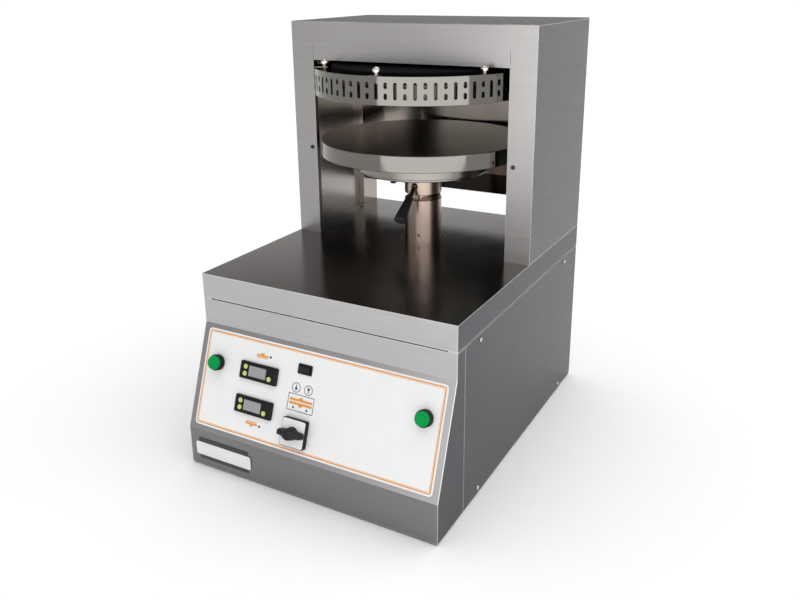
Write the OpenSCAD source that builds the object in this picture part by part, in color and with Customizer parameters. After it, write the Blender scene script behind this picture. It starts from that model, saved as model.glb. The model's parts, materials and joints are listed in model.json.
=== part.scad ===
// Countertop dough press: a folded steel cabinet with a portal head, a fixed heated upper plate
// inside a perforated guard ring, and a heated lower plate that a screw-driven column lifts.
// Millimetres, +Z up, front towards -Y, origin on the floor under the middle of the outline.

/* [Casing] */
// Width of the cabinet and of the portal head
body_w = 550; // [500:1:620]
// Depth of the worktop, front edge to rear
top_d = 650; // [640:1:720]
// Height of the worktop above the floor
top_z = 381; // [370:1:400]
// Height of the whole press
total_h = 842; // [836:1:900]
// Height of the worktop's skirt
skirt_h = 49; // [35:1:60]
// Open joint between the skirt and the panels under it
skirt_gap = 2; // [1:0.5:4]
// Length at each end of the front panel where that joint is closed
skirt_ear = 18; // [10:1:40]
// Height of the bend where the front panel starts to slant
bend_z = 280; // [265:1:300]
// Height of the lower bend, where the slanted panel meets the kick plate
kick_z = 82; // [70:1:95]
// Distance that the slanted panel runs forward of the worktop's front edge
toe = 72; // [55:1:90]
// Thickness of the folded sheets
sheet_t = 1.5; // [1:0.1:2]
// Depth of the front panel's folded side returns
return_d = 31; // [20:1:50]
// Open seam between the returns and the side panels
seam_gap = 0.8; // [0.4:0.1:1.5]
// Clearance from the floor to the casing's lower edges
floor_gap = 3; // [2:0.5:5]
// Thickness of the base plate
floor_t = 2; // [1.5:0.1:4]
// Height of the rubber feet
foot_h = 8; // [6:0.5:12]
// Radius of the rubber feet
foot_r = 16; // [10:1:22]
// Distance from the cabinet's sides to the feet's centres
foot_inset = 50; // [35:1:80]

/* [Casing screws] */
// Radius of the domed heads
screw_head_r = 4.5; // [3.5:0.1:6]
// Height of the domed heads
screw_head_h = 2.2; // [1.5:0.1:3]
// Radius of the shanks
screw_r = 2; // [1.5:0.1:2.5]
// Length of the shanks behind the head
screw_l = 8; // [5:0.5:12]
// Clearance of a shank in its hole
screw_fit = 0.3; // [0.2:0.05:0.5]
// Distance from the worktop's front edge to the front side screws
side_screw_front = 95; // [70:1:130]
// Distance from the rear to the rear side screws
side_screw_rear = 88; // [70:1:130]
// Distance from the side panel's upper and lower edges to the screws
side_screw_edge = 12; // [11:0.5:20]
// Distance from the side of a pillar to its front screw
pillar_screw_in = 41; // [30:1:44]
// Height of the pillar screws above the worktop
pillar_screw_h = 194; // [150:1:250]

/* [Portal head] */
// Distance from the rear face to the portal's front face
portal_back = 318; // [305:1:330]
// Width of the pillars in front view
pillar_w = 53; // [46:1:56]
// Height of the lintel
lintel_h = 79; // [74:1:110]
// Depth of the folded edge around the portal's opening
fold_d = 12; // [8:1:16]
// Length of the relief slits above the opening's corners
slit_l = 32; // [15:1:45]
// Width of the relief slits
slit_w = 1; // [0.6:0.1:2]
// Height of the open window at the rear of the worktop
window_h = 50; // [35:1:70]
// Height above the worktop where the inner rear wall starts
liner_h = 99; // [80:1:130]
// Distance from the inner rear wall's face to the rear face
liner_back = 11.5; // [9:0.5:13]
// Thickness of the inner rear wall
liner_t = 1.2; // [0.8:0.1:2]
// Width of the rear posts that stiffen the head
post_w = 14; // [10:1:20]
// Depth of the rear posts
post_d = 64; // [45:1:80]
// Thickness of the bridge that carries the upper plate
upper_bridge_t = 12; // [8:1:16]
// Distance from the lintel's lower edge up to that bridge
upper_bridge_rise = 22; // [18:1:30]
// Radius of the small drain hole in the worktop
drain_r = 3; // [2:0.5:4]
// Distance from the side wall to the drain hole
drain_in = 22; // [18:1:30]
// Distance from the rear to the drain hole
drain_back = 90; // [75:1:120]

/* [Press plates] */
// Distance from the rear face to the press axis
axis_back = 242; // [240:1:250]
// Radius of the two plates
plate_r = 217; // [200:1:218]
// Thickness of the two plates
plate_t = 32; // [24:1:36]
// Height of the lower plate's face above the worktop at rest
plate_rise = 224; // [210:1:235]
// Stroke of the lower plate
stroke = 100; // [80:1:105]
// Thickness of the thinnest dough
dough_t = 1; // [0.5:0.5:3]
// Radius of the carrier under the lower plate
carrier_r = 147; // [130:1:160]
// Height of the carrier
carrier_h = 34; // [28:1:40]
// Air gap between the carrier and the lower plate
carrier_gap = 3; // [2:0.5:5]
// Radius of the boss that joins the carrier to the lower plate
boss_r = 70; // [60:1:80]
// Radius of the locating pin under the lower plate
locator_r = 6; // [4:0.5:8]
// Length of the locating pin
locator_l = 10; // [8:0.5:14]
// Direction of the locating pin, in degrees
locator_at = 284; // [275:1:295]
// Number of bolts under the carrier
bolt_n = 6; // [4:1:8]
// Radius of the bolt heads
bolt_r = 6; // [4:0.5:8]
// Height of the bolt heads
bolt_h = 5; // [3:0.5:7]
// Distance from the carrier's rim to the bolts
bolt_in = 16; // [12:1:25]
// Inner radius of the heating rings
heater_in_r = 100; // [90:1:110]
// Outer radius of the heating rings
heater_out_r = 140; // [120:1:142]
// Height of the heating rings
heater_h = 8; // [6:1:10]
// Clearance around the heating rings
heater_fit = 1; // [0.5:0.1:2]
// Radius of the black cover on the upper plate
cover_r = 190; // [185:1:192]
// Height of the black cover
cover_h = 20; // [16:1:21]
// Radius of the hanger rods
hanger_r = 6.5; // [5:0.5:8]
// Clearance of the hanger rods in the cover
hanger_fit = 1; // [0.5:0.1:2]
// Distance from the press axis to the hanger rods
hanger_at = 170; // [162:1:174]

/* [Guard ring] */
// Outer radius of the guard ring
ring_r = 226; // [225:1:227]
// Wall of the guard ring
ring_t = 2; // [1.5:0.1:2.5]
// Height of the guard ring
ring_h = 53; // [48:1:56]
// Distance that the guard ring hangs below the upper plate's face
ring_drop = 5; // [3:0.5:8]
// Distance that the guard ring can be lifted
ring_lift = 5; // [3:0.5:6]
// Number of slot columns around the guard ring
slot_n = 76; // [60:4:84]
// Width of the slots
slot_w = 7; // [5:0.5:8]
// Height of the tall slots
slot_h = 32; // [26:1:36]
// Height of the small slots
small_slot_h = 12; // [10:0.5:13]
// Number of lifting studs
stud_n = 6; // [3:1:8]
// Direction of the first stud, in degrees
stud_from = 32; // [28:1:36]
// Distance from the press axis to the studs
stud_at = 203; // [201:1:206]
// Radius of the studs
stud_r = 4; // [3:0.5:5]
// Radius of the shoulders and of the cap nuts on the studs
nut_r = 7.5; // [6:0.5:8]
// Height of the cap nuts under their domes
nut_h = 5; // [3:0.5:7]
// Clearance of the ring's tabs around the studs
stud_fit = 0.5; // [0.35:0.05:1]
// Clearance above the ring's tabs at full lift
lift_gap = 0.5; // [0.3:0.1:1]
// Width of the ring's tabs
tab_w = 18; // [14:1:24]

/* [Column and lever] */
// Radius of the lifting column
column_r = 40; // [36:1:44]
// Radius of the column's bore
column_bore_r = 28; // [24:1:29]
// Length of the column's bore
column_bore_l = 160; // [150:1:175]
// Height of the column's lower end above the floor at rest
column_z = 200; // [196:1:205]
// Height of the column's shoulder above the worktop at rest
shoulder_rise = 92; // [85:1:100]
// Radius of the neck above the shoulder
neck_r = 30; // [26:1:33]
// Height of the groove between the shoulder and the adjusting collar
groove_h = 11; // [8:1:14]
// Angle of the cam that fills part of the groove
cam_angle = 80; // [40:5:120]
// Distance that the cam lies inside the column's outline
cam_inset = 0.5; // [0.3:0.1:1]
// Clearance between the cam and the adjusting collar
cam_gap = 0.3; // [0.2:0.1:0.6]
// Direction where the cam starts, in degrees
cam_from = 290; // [270:5:320]
// Clearance between the adjusting collar and the carrier
collar_gap = 2; // [1:0.5:4]
// Running clearance of pieces that turn or slide on each other
run_fit = 0.05; // [0.02:0.01:0.1]
// Radius of the sight hole in the column
sight_r = 2.5; // [1.5:0.5:4]
// Height of the sight hole above the worktop at rest
sight_rise = 14; // [10:1:25]
// Direction of the sight hole, in degrees
sight_at = 283; // [270:1:295]
// Depth of the sight hole
sight_depth = 6; // [3:0.5:8]
// Radius of the lever's rod
rod_r = 4.7; // [4:0.1:6]
// Free length of the lever's rod
rod_l = 34; // [30:1:45]
// Angle of the lever below the horizontal
lever_drop = 40; // [30:1:45]
// Height of the lever's root above the collar's lower edge
lever_rise = 22; // [16:1:30]
// Radius of the grip where it starts
grip_r1 = 8; // [6:0.5:9]
// Radius of the grip at its end
grip_r2 = 12.5; // [10:0.5:14]
// Length of the grip
grip_l = 62; // [50:1:75]
// Length of the rod inside the grip
grip_socket = 20; // [15:1:30]

/* [Drive] */
// Thickness of the bridge plate under the worktop
bridge_t = 8; // [6:1:10]
// Clearance between the bridge plate and the worktop's skirt
bridge_fit = 1; // [0.5:0.1:2]
// Length of the bridge plate
bridge_l = 320; // [300:1:380]
// Section of the frame posts
leg_w = 30; // [25:1:40]
// Distance between the frame posts across the press
leg_dx = 400; // [380:1:430]
// Distance between the frame posts along the press
leg_dy = 260; // [250:1:280]
// Wall of the bronze guide bush
bush_t = 8; // [5:0.5:10]
// Length of the guide housing below the bridge plate
guide_l = 110; // [100:1:118]
// Wall of the guide housing
guide_t = 12; // [8:1:16]
// Width of the guide housing's flange
guide_flange_w = 22; // [15:1:30]
// Thickness of the guide housing's flange
guide_flange_t = 10; // [8:1:14]
// Radius of the lead screw
screw_shaft_r = 12; // [10:0.5:14]
// Height of the lead screw's upper end above the floor
screw_top_z = 350; // [346:1:352]
// Radius of the screw nut's body
screw_nut_r = 22; // [20:0.5:23]
// Length of the screw nut inside the column
screw_nut_l = 36; // [30:1:45]
// Thickness of the screw nut's flange
screw_nut_flange = 8; // [6:0.5:10]
// Radius of the screw nut's flange
screw_nut_flange_r = 35; // [33:1:36]
// Width of the gearbox
gearbox_w = 120; // [100:1:140]
// Height of the gearbox
gearbox_h = 138; // [130:1:142]
// Radius of the screw's thrust bearing
bearing_r = 34; // [28:1:40]
// Height of the thrust bearing
bearing_h = 22; // [18:1:26]
// Radius of the motor
motor_r = 52; // [45:1:58]
// Length of the motor
motor_l = 170; // [140:1:180]
// Width of the control box
control_w = 130; // [100:1:140]
// Depth of the control box
control_d = 90; // [70:1:95]
// Height of the control box
control_h = 45; // [35:1:55]
// Width of the contactor
contactor_w = 50; // [40:1:60]
// Depth of the contactor
contactor_d = 80; // [70:1:90]
// Height of the contactor
contactor_h = 75; // [60:1:85]
// Distance from the middle plane to the control box and the contactor
electric_x = 180; // [165:1:185]
// Distance from the worktop's front edge to the control box and the contactor
electric_back = 110; // [90:1:130]

/* [Cord inlet] */
// Radius of the gland's bore
gland_bore_r = 5; // [4:0.5:6]
// Radius of the gland's body
gland_r = 9; // [8:0.5:10]
// Radius of the gland's collar
gland_collar_r = 14; // [12:0.5:16]
// Distance that the gland stands out behind
gland_out = 18; // [14:1:24]
// Length of the gland inside the cabinet
gland_in = 12; // [8:1:16]
// Thickness of the gland's collar
gland_collar_t = 6; // [4:0.5:8]
// Clearance of the gland in the rear panel
gland_fit = 0.3; // [0.2:0.05:0.5]
// Distance from the cabinet's left side to the gland
gland_x = 75; // [55:1:125]
// Height of the gland above the floor
gland_z = 60; // [45:1:90]
// Number of cooling slots in the rear panel
vent_n = 9; // [5:1:11]
// Width of the cooling slots
vent_w = 6; // [4:0.5:8]
// Height of the cooling slots
vent_h = 60; // [40:1:80]
// Distance between the cooling slots
vent_pitch = 22; // [16:1:24]
// Height of the cooling slots' centres above the floor
vent_z = 220; // [190:1:240]

/* [Control panel] */
// Width of the printed overlay
overlay_w = 525; // [480:1:540]
// Height of the printed overlay
overlay_h = 192; // [180:1:196]
// Thickness of the printed overlay
overlay_t = 0.6; // [0.3:0.1:1]
// Corner radius of the printed overlay
overlay_r = 8; // [4:1:12]
// Clearance of the fittings in the panel's cut-outs
cut_fit = 0.4; // [0.2:0.1:0.8]
// Distance from the middle plane to the two push buttons
button_x = 228; // [215:1:232]
// Distance from the panel's middle line up to the push buttons
button_up = 32; // [25:1:40]
// Radius of the push buttons' barrels
barrel_r = 15.5; // [14:0.5:18]
// Distance that the barrels stand out
barrel_h = 12; // [9:0.5:15]
// Depth of the barrels' bores
barrel_depth = 10; // [9:0.5:11]
// Radius of the barrels' necks through the panel
neck_barrel_r = 11; // [9:0.5:12]
// Length of the barrels' necks behind the panel
barrel_l = 40; // [30:1:50]
// Radius of the push buttons' caps
cap_r = 13.2; // [11:0.1:13.5]
// Clearance of a cap in its barrel
cap_fit = 0.4; // [0.35:0.05:0.5]
// Distance that a cap stands out of its barrel
cap_out = 6; // [4:0.5:8]
// Length of a cap inside its barrel
cap_in = 5; // [4:0.5:5.5]
// Travel of a cap
cap_travel = 4; // [2:0.5:4.5]
// Distance from the middle plane to the thermostats
thermo_x = 127; // [120:1:135]
// Distance from the panel's middle line to the thermostats
thermo_up = 32.6; // [30:0.1:36]
// Width of a thermostat's bezel
thermo_w = 87; // [80:1:92]
// Height of a thermostat's bezel
thermo_h = 33.5; // [32:0.5:36]
// Thickness of a thermostat's bezel
thermo_t = 5; // [4.5:0.5:7]
// Width of a thermostat's housing behind the panel
thermo_body_w = 71; // [60:1:74]
// Height of a thermostat's housing behind the panel
thermo_body_h = 29; // [26:0.5:29.5]
// Depth of a thermostat's housing behind the panel
thermo_body_d = 45; // [40:1:55]
// Width of a thermostat's display
display_w = 40.5; // [36:0.5:42]
// Height of a thermostat's display
display_h = 20.3; // [18:0.1:22]
// Thickness of a thermostat's display
display_t = 1; // [0.6:0.1:1.5]
// Distance that the display sits left of the bezel's middle
display_left = 2.4; // [1.5:0.1:3]
// Radius of a thermostat's keys
key_r = 4.7; // [4:0.1:5]
// Clearance of a key in its well
key_fit = 0.35; // [0.3:0.05:0.5]
// Distance that a key stands out of the bezel
key_out = 1.2; // [1:0.1:2]
// Length of a key inside the bezel
key_in = 2; // [1.5:0.1:2.4]
// Depth of a key's well
key_well = 3.2; // [3:0.1:3.8]
// Travel of a key
key_travel = 0.8; // [0.5:0.1:1]
// Distance from the bezel's middle to the two left keys
key_left = 30.5; // [29:0.5:32]
// Distance from the bezel's middle to the right key
key_right = 26.4; // [25:0.1:30]
// Distance of the keys from the bezel's middle line
key_up = 6.7; // [6:0.1:8]
// Distance from the middle plane to the rocker and the main switch
middle_x = 26; // [20:1:32]
// Distance from the panel's middle line up to the rocker
rocker_up = 59.7; // [55:0.1:65]
// Width of the rocker's frame
rocker_w = 31; // [30:0.5:34]
// Height of the rocker's frame
rocker_h = 19; // [18:0.5:22]
// Thickness of the rocker's frame
rocker_t = 2; // [1.5:0.1:3]
// Border of the rocker's frame
rocker_rim = 2; // [1.8:0.1:2.4]
// Depth of the rocker's well below the frame's face
rocker_well = 10; // [9:0.5:12]
// Depth of the rocker's housing behind the panel
rocker_body_d = 24; // [20:1:30]
// Clearance of the rocker in its well
rocker_fit = 1.2; // [1.1:0.1:1.4]
// Distance that the rocker's ends stand out of the frame
rocker_out = 2.2; // [1.5:0.1:2.6]
// Depth of the rocker's dip in the middle
rocker_dip = 1.4; // [0.8:0.1:1.5]
// Length of the rocker below the frame's face
rocker_in = 5; // [4.5:0.5:6]
// Radius of the rocker's pivot pins
pivot_r = 1.4; // [1:0.1:1.5]
// Distance that the pivot pins enter the rocker's frame
pivot_in = 0.8; // [0.5:0.1:1]
// Distance from the panel's middle line down to the main switch
switch_down = 59.7; // [58:0.1:61]
// Width of the main switch's square base
switch_w = 53; // [48:1:56]
// Thickness of the main switch's base
switch_t = 10; // [7:0.5:13]
// Thickness of the main switch's white face
switch_face_t = 1; // [0.8:0.1:2]
// Radius of the main switch's body behind the panel
switch_body_r = 20; // [17:0.5:21]
// Depth of the main switch's body behind the panel
switch_body_d = 45; // [35:1:55]
// Radius of the main switch's spindle
spindle_r = 4; // [3:0.5:5]
// Clearance under the main switch's knob
knob_gap = 0.3; // [0.2:0.05:0.6]
// Radius of the knob's middle
knob_r = 12.5; // [10:0.5:14]
// Length of the knob across its wings
knob_l = 52; // [44:1:54]
// Width of the knob's wings
knob_wing_w = 13; // [9:0.5:15]
// Height of the knob
knob_h = 20; // [15:0.5:24]
// Width of the badge's dark plate
badge_w = 121; // [100:1:130]
// Height of the badge's dark plate
badge_h = 46; // [40:1:50]
// Thickness of each of the badge's two layers
badge_t = 1.2; // [0.8:0.1:2]
// Corner radius of the badge
badge_r = 6; // [4:0.5:8]
// Width of the badge's light bar
bar_w = 135; // [128:1:142]
// Height of the badge's light bar
bar_h = 28; // [20:0.5:32]
// Distance from the cabinet's left side to the badge's middle
badge_x = 83; // [79:1:95]
// Height of the badge above the floor
badge_z = 40; // [36:1:44]

/* [Hidden] */
$fn = 64;
// Overrun of every cut
over = 1;
// Share of a dome's height to its radius
dome_share = 0.6;

// Slanted panel: its angle from upright, length and middle
panel_tilt = atan2(toe, bend_z - kick_z);
panel_reach = overlay_t + switch_t + switch_face_t + knob_gap + knob_h;
// Distance of the knob's foremost edge from the worktop's front edge
front_reach = toe / 2 + (switch_down + knob_r) * sin(panel_tilt) + panel_reach * cos(panel_tilt);

// Lengthwise places, set so that the outline is centred on the origin
front_y = (front_reach - top_d - gland_out) / 2;
rear_y = front_y + top_d;
portal_y = rear_y - portal_back;
axis_y = rear_y - axis_back;
panel_y = front_y - toe / 2;
kick_y = front_y - toe;

// Heights
panel_z = (bend_z + kick_z) / 2;
skirt_z = top_z - skirt_h;
panel_top = skirt_z - skirt_gap;
floor_z = foot_h + floor_t;
roof_z = total_h - sheet_t;
lintel_z = total_h - lintel_h;
window_z = top_z + window_h;
liner_z = top_z + liner_h;
upper_bridge_z = lintel_z + upper_bridge_rise;
plate_z = top_z + plate_rise;
carrier_top = plate_z - plate_t - carrier_gap;
carrier_z = carrier_top - carrier_h;
upper_z = plate_z + stroke + dough_t;
upper_top = upper_z + plate_t;
ring_z = upper_z - ring_drop;
ring_top = ring_z + ring_h;
nut_z = ring_top + ring_lift + lift_gap;
shoulder_z = top_z + shoulder_rise;
collar_z = shoulder_z + groove_h;
collar_top = carrier_z - collar_gap;
bridge_z = top_z - sheet_t - bridge_t;
guide_z = bridge_z - guide_l;
gearbox_top = floor_z + gearbox_h;

// Half widths
side_x = body_w / 2;
inner_x = side_x - sheet_t;
post_x = inner_x - post_w;
opening_x = side_x - pillar_w;
tab_t = ring_t;
bush_out_r = column_r + run_fit + bush_t;

// Places of the casing screws on a side panel, along the press and up
side_screw_ys = [front_y + side_screw_front, rear_y - side_screw_rear];
side_screw_zs = [floor_gap + side_screw_edge, panel_top - side_screw_edge];
// Directions of the hanger rods, all behind the lintel
hanger_angles = [0, 60, 120, 180];
// Places of the three keys on a bezel: plus, minus, set
key_places = [[-key_left, key_up], [-key_left, -key_up], [key_right, -key_up]];

module on_panel(x, up)
    translate([0, panel_y, panel_z])
        rotate([90 - panel_tilt, 0, 0])
            translate([x, up, 0])
                children();

module on_axis(z = 0) translate([0, axis_y, z]) children();

module around(n, from, radius)
    for (i = [0 : n - 1])
        rotate([0, 0, from + i * 360 / n])
            translate([radius, 0, 0])
                children();

module both_sides() {
    children();
    mirror([1, 0, 0]) children();
}

// A sheet or bar that spans the given limits
module block(x, y, z)
    translate([x[0], y[0], z[0]])
        cube([x[1] - x[0], y[1] - y[0], z[1] - z[0]]);

// An outline drawn in Y and Z, swept across the press
module across(width)
    rotate([90, 0, 90])
        linear_extrude(width, center = true)
            children();

module rounded(w, h, r) {
    square([w - 2 * r, h], center = true);
    square([w, h - 2 * r], center = true);
    for (x = [-1, 1], y = [-1, 1])
        translate([x * (w / 2 - r), y * (h / 2 - r)])
            circle(r);
}

module tube(outer, inner, h)
    difference() {
        cylinder(r = outer, h = h);
        translate([0, 0, -over]) cylinder(r = inner, h = h + 2 * over);
    }

// A shallow dome that stands on a disc of the same radius
module dome(r, h)
    rotate_extrude()
        intersection() {
            translate([0, h - (r * r + h * h) / (2 * h)]) circle((r * r + h * h) / (2 * h));
            square([r, h]);
        }

module casing_screw() {
    dome(screw_head_r, screw_head_h);
    translate([0, 0, -screw_l]) cylinder(r = screw_r, h = screw_l);
}

module side_screw_places()
    for (y = side_screw_ys, z = side_screw_zs)
        translate([side_x, y, z])
            rotate([0, 90, 0])
                children();

module pillar_screw_place()
    translate([side_x - pillar_screw_in, portal_y, top_z + pillar_screw_h])
        rotate([90, 0, 0])
            children();

module screw_hole()
    translate([0, 0, -sheet_t - over])
        cylinder(r = screw_r + screw_fit, h = sheet_t + 2 * over);

// Cabinet

module feet()
    color("#202020")
        for (x = [-1, 1], y = [front_y - toe + foot_inset, rear_y - foot_inset])
            translate([x * (side_x - foot_inset), y, 0])
                cylinder(r = foot_r, h = foot_h);

module base_plate()
    color("#8c8c8c")
        block([-inner_x, inner_x], [kick_y + sheet_t, rear_y - sheet_t], [foot_h, floor_z]);

module front_outline() {
    bend_in = sheet_t * tan(panel_tilt / 2);
    polygon([
        [front_y, panel_top], [front_y, bend_z], [kick_y, kick_z], [kick_y, floor_gap],
        [kick_y + sheet_t, floor_gap], [kick_y + sheet_t, kick_z - bend_in],
        [front_y + sheet_t, bend_z - bend_in], [front_y + sheet_t, panel_top]
    ]);
}

module return_outline()
    polygon([
        [front_y, panel_top], [front_y, bend_z], [kick_y, kick_z], [kick_y, floor_gap],
        [front_y + return_d, floor_gap], [front_y + return_d, panel_top]
    ]);

// Cut-outs for the fittings, shared by the panel and its overlay
module panel_cuts(depth) {
    for (x = [-button_x, button_x])
        on_panel(x, button_up)
            translate([0, 0, -depth])
                cylinder(r = neck_barrel_r + cut_fit, h = depth + overlay_t + over);
    for (up = [-thermo_up, thermo_up])
        on_panel(-thermo_x, up)
            panel_cut(thermo_body_w, thermo_body_h, depth);
    on_panel(-middle_x, rocker_up)
        panel_cut(rocker_w - 2 * cut_fit, rocker_h - 2 * rocker_rim, depth);
    on_panel(-middle_x, -switch_down)
        translate([0, 0, -depth])
            cylinder(r = switch_body_r + cut_fit, h = depth + overlay_t + over);
}

module panel_cut(w, h, depth)
    translate([-w / 2 - cut_fit, -h / 2 - cut_fit, -depth])
        cube([w + 2 * cut_fit, h + 2 * cut_fit, depth + overlay_t + over]);

module front_panel()
    color("#9a9a9b")
        difference() {
            union() {
                across(body_w) front_outline();
                both_sides() {
                    translate([side_x - sheet_t / 2, 0, 0]) across(sheet_t) return_outline();
                    block([side_x - skirt_ear, side_x], [front_y, front_y + sheet_t],
                        [panel_top - over, skirt_z]);
                }
            }
            panel_cuts(sheet_t + over);
        }

module side_panel()
    difference() {
        block([inner_x, side_x], [front_y + return_d + seam_gap, rear_y], [floor_gap, panel_top]);
        side_screw_places() screw_hole();
    }

module side_panel_right() color("#6a6a6d") side_panel();
module side_panel_left() color("#6a6a6d") mirror([1, 0, 0]) side_panel();

module rear_panel()
    color("#7c7c7e")
        difference() {
            block([-inner_x, inner_x], [rear_y - sheet_t, rear_y], [floor_gap, panel_top]);
            translate([gland_x - side_x, rear_y + over, gland_z])
                rotate([90, 0, 0])
                    cylinder(r = gland_r + gland_fit, h = sheet_t + 2 * over);
            for (i = [0 : vent_n - 1])
                translate([(i - (vent_n - 1) / 2) * vent_pitch, rear_y, vent_z])
                    cube([vent_w, 2 * (sheet_t + over), vent_h], center = true);
        }

module casing_screws()
    color("#c9c9cb") {
        both_sides() side_screw_places() casing_screw();
        both_sides() pillar_screw_place() casing_screw();
    }

module worktop()
    color("#4a4846")
        difference() {
            block([-side_x, side_x], [front_y, rear_y], [skirt_z, top_z]);
            block([-inner_x, inner_x], [front_y + sheet_t, rear_y - sheet_t],
                [skirt_z - over, top_z - sheet_t]);
            on_axis(top_z - sheet_t - over)
                cylinder(r = bush_out_r + run_fit, h = sheet_t + 2 * over);
            translate([drain_in - side_x, rear_y - drain_back, top_z - sheet_t - over])
                cylinder(r = drain_r, h = sheet_t + 2 * over);
        }

// Frame and drive

module frame_posts()
    color("#5c5f63")
        for (x = [-1, 1], y = [-1, 1])
            on_axis()
                translate([x * leg_dx / 2 - leg_w / 2, y * leg_dy / 2 - leg_w / 2, floor_z])
                    cube([leg_w, leg_w, bridge_z - floor_z]);

module bridge_plate()
    color("#5c5f63")
        difference() {
            on_axis()
                block([bridge_fit - inner_x, inner_x - bridge_fit], [-bridge_l / 2, bridge_l / 2],
                    [bridge_z, top_z - sheet_t]);
            on_axis(bridge_z - over) cylinder(r = bush_out_r + run_fit, h = bridge_t + 2 * over);
        }

module guide_housing()
    color("#6e7276")
        on_axis(guide_z) {
            tube(bush_out_r + guide_t, bush_out_r + run_fit, guide_l);
            translate([0, 0, guide_l - guide_flange_t])
                tube(bush_out_r + guide_t + guide_flange_w, bush_out_r + run_fit, guide_flange_t);
        }

module guide_bush()
    color("#b08d57")
        on_axis(guide_z)
            tube(bush_out_r, column_r + run_fit, top_z - guide_z);

module gearmotor()
    color("#53575c") {
        on_axis()
            block([-gearbox_w / 2, gearbox_w / 2], [-gearbox_w / 2, gearbox_w / 2],
                [floor_z, gearbox_top]);
        on_axis(floor_z + gearbox_h / 2)
            translate([0, over - gearbox_w / 2, 0])
                rotate([90, 0, 0])
                    cylinder(r = motor_r, h = motor_l + over);
    }

module screw_bearing()
    color("#a8abae")
        on_axis(gearbox_top)
            tube(bearing_r, screw_shaft_r + run_fit, bearing_h);

module control_box()
    color("#d8d8d4")
        translate([-electric_x - control_w / 2, front_y + electric_back - control_d / 2, floor_z])
            cube([control_w, control_d, control_h]);

module contactor()
    color("#3a3d40")
        translate([electric_x - contactor_w / 2, front_y + electric_back - contactor_d / 2, floor_z])
            cube([contactor_w, contactor_d, contactor_h]);

module cord_gland()
    color("#1f1f20")
        translate([gland_x - side_x, rear_y, gland_z])
            rotate([-90, 0, 0])
                difference() {
                    union() {
                        translate([0, 0, -sheet_t - gland_in])
                            cylinder(r = gland_r, h = gland_out + sheet_t + gland_in);
                        cylinder(r = gland_collar_r, h = gland_collar_t);
                    }
                    translate([0, 0, -sheet_t - gland_in - over])
                        cylinder(r = gland_bore_r, h = gland_out + sheet_t + gland_in + 2 * over);
                }

// Portal head

module portal_outline()
    difference() {
        translate([-side_x, top_z]) square([body_w, roof_z - top_z]);
        translate([-opening_x, top_z - over]) square([2 * opening_x, lintel_z - top_z + over]);
        for (x = [-opening_x, opening_x])
            translate([x - slit_w / 2, lintel_z - over]) square([slit_w, slit_l + over]);
        for (x = [-1, 1])
            translate([x * (side_x - pillar_screw_in), top_z + pillar_screw_h])
                circle(screw_r + screw_fit);
    }

module head_front()
    color("#9c9a9a") {
        translate([0, portal_y + sheet_t, 0])
            rotate([90, 0, 0])
                linear_extrude(sheet_t)
                    portal_outline();
        both_sides()
            block([opening_x, opening_x + sheet_t], [portal_y, portal_y + fold_d], [top_z, lintel_z]);
        block([slit_w - opening_x, opening_x - slit_w], [portal_y, portal_y + fold_d],
            [lintel_z, lintel_z + sheet_t]);
    }

module head_side()
    block([inner_x, side_x], [portal_y + sheet_t, rear_y], [top_z, roof_z]);

module head_side_right() color("#87868a") head_side();
module head_side_left() color("#87868a") mirror([1, 0, 0]) head_side();

module head_top()
    color("#6c6a6a")
        block([-side_x, side_x], [portal_y, rear_y], [roof_z, total_h]);

module rear_cover()
    color("#77777a")
        block([-inner_x, inner_x], [rear_y - sheet_t, rear_y], [window_z, roof_z]);

module rear_liner()
    color("#a5a19c")
        block([-post_x, post_x], [rear_y - liner_back, rear_y - liner_back + liner_t],
            [liner_z, upper_bridge_z]);

module rear_posts()
    color("#8f9194")
        both_sides()
            block([post_x, inner_x], [rear_y - sheet_t - post_d, rear_y - sheet_t],
                [top_z, upper_bridge_z]);

module upper_bridge()
    color("#5c5f63")
        block([-inner_x, inner_x], [portal_y + fold_d, rear_y - sheet_t],
            [upper_bridge_z, upper_bridge_z + upper_bridge_t]);

// Upper plate, its cover and the lifting studs of the guard ring

module hanger_places()
    for (a = hanger_angles)
        rotate([0, 0, a])
            translate([hanger_at, 0, 0])
                children();

module hanger_rods()
    color("#b9a99f")
        on_axis(upper_top)
            hanger_places()
                cylinder(r = hanger_r, h = upper_bridge_z - upper_top);

module upper_cover()
    color("#161616")
        on_axis(upper_top)
            difference() {
                cylinder(r = cover_r, h = cover_h);
                translate([0, 0, -over])
                    tube(heater_out_r + heater_fit, heater_in_r - heater_fit, heater_h + heater_fit + over);
                hanger_places()
                    translate([0, 0, -over])
                        cylinder(r = hanger_r + hanger_fit, h = cover_h + 2 * over);
            }

module upper_heater() color("#8a4b32") on_axis(upper_top) tube(heater_out_r, heater_in_r, heater_h);

module upper_plate() color("#2a2622") on_axis(upper_z) cylinder(r = plate_r, h = plate_t);

module lifting_studs()
    color("#b9a99f")
        on_axis(upper_top)
            around(stud_n, stud_from, stud_at) {
                cylinder(r = nut_r, h = ring_top - tab_t - upper_top);
                cylinder(r = stud_r, h = nut_z - upper_top);
            }

module cap_nuts()
    color("#d9d7d2")
        on_axis(nut_z)
            around(stud_n, stud_from, stud_at) {
                cylinder(r = nut_r, h = nut_h);
                translate([0, 0, nut_h]) dome(nut_r, nut_r * dome_share);
            }

// A slot with round ends, cut through the ring's wall along X
module ring_slot(h)
    translate([ring_r - ring_t - over, 0, 0])
        rotate([90, 0, 90])
            linear_extrude(ring_t + 2 * over) {
                square([slot_w, h - slot_w], center = true);
                for (y = [-1, 1])
                    translate([0, y * (h - slot_w) / 2])
                        circle(d = slot_w);
            }

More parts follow.
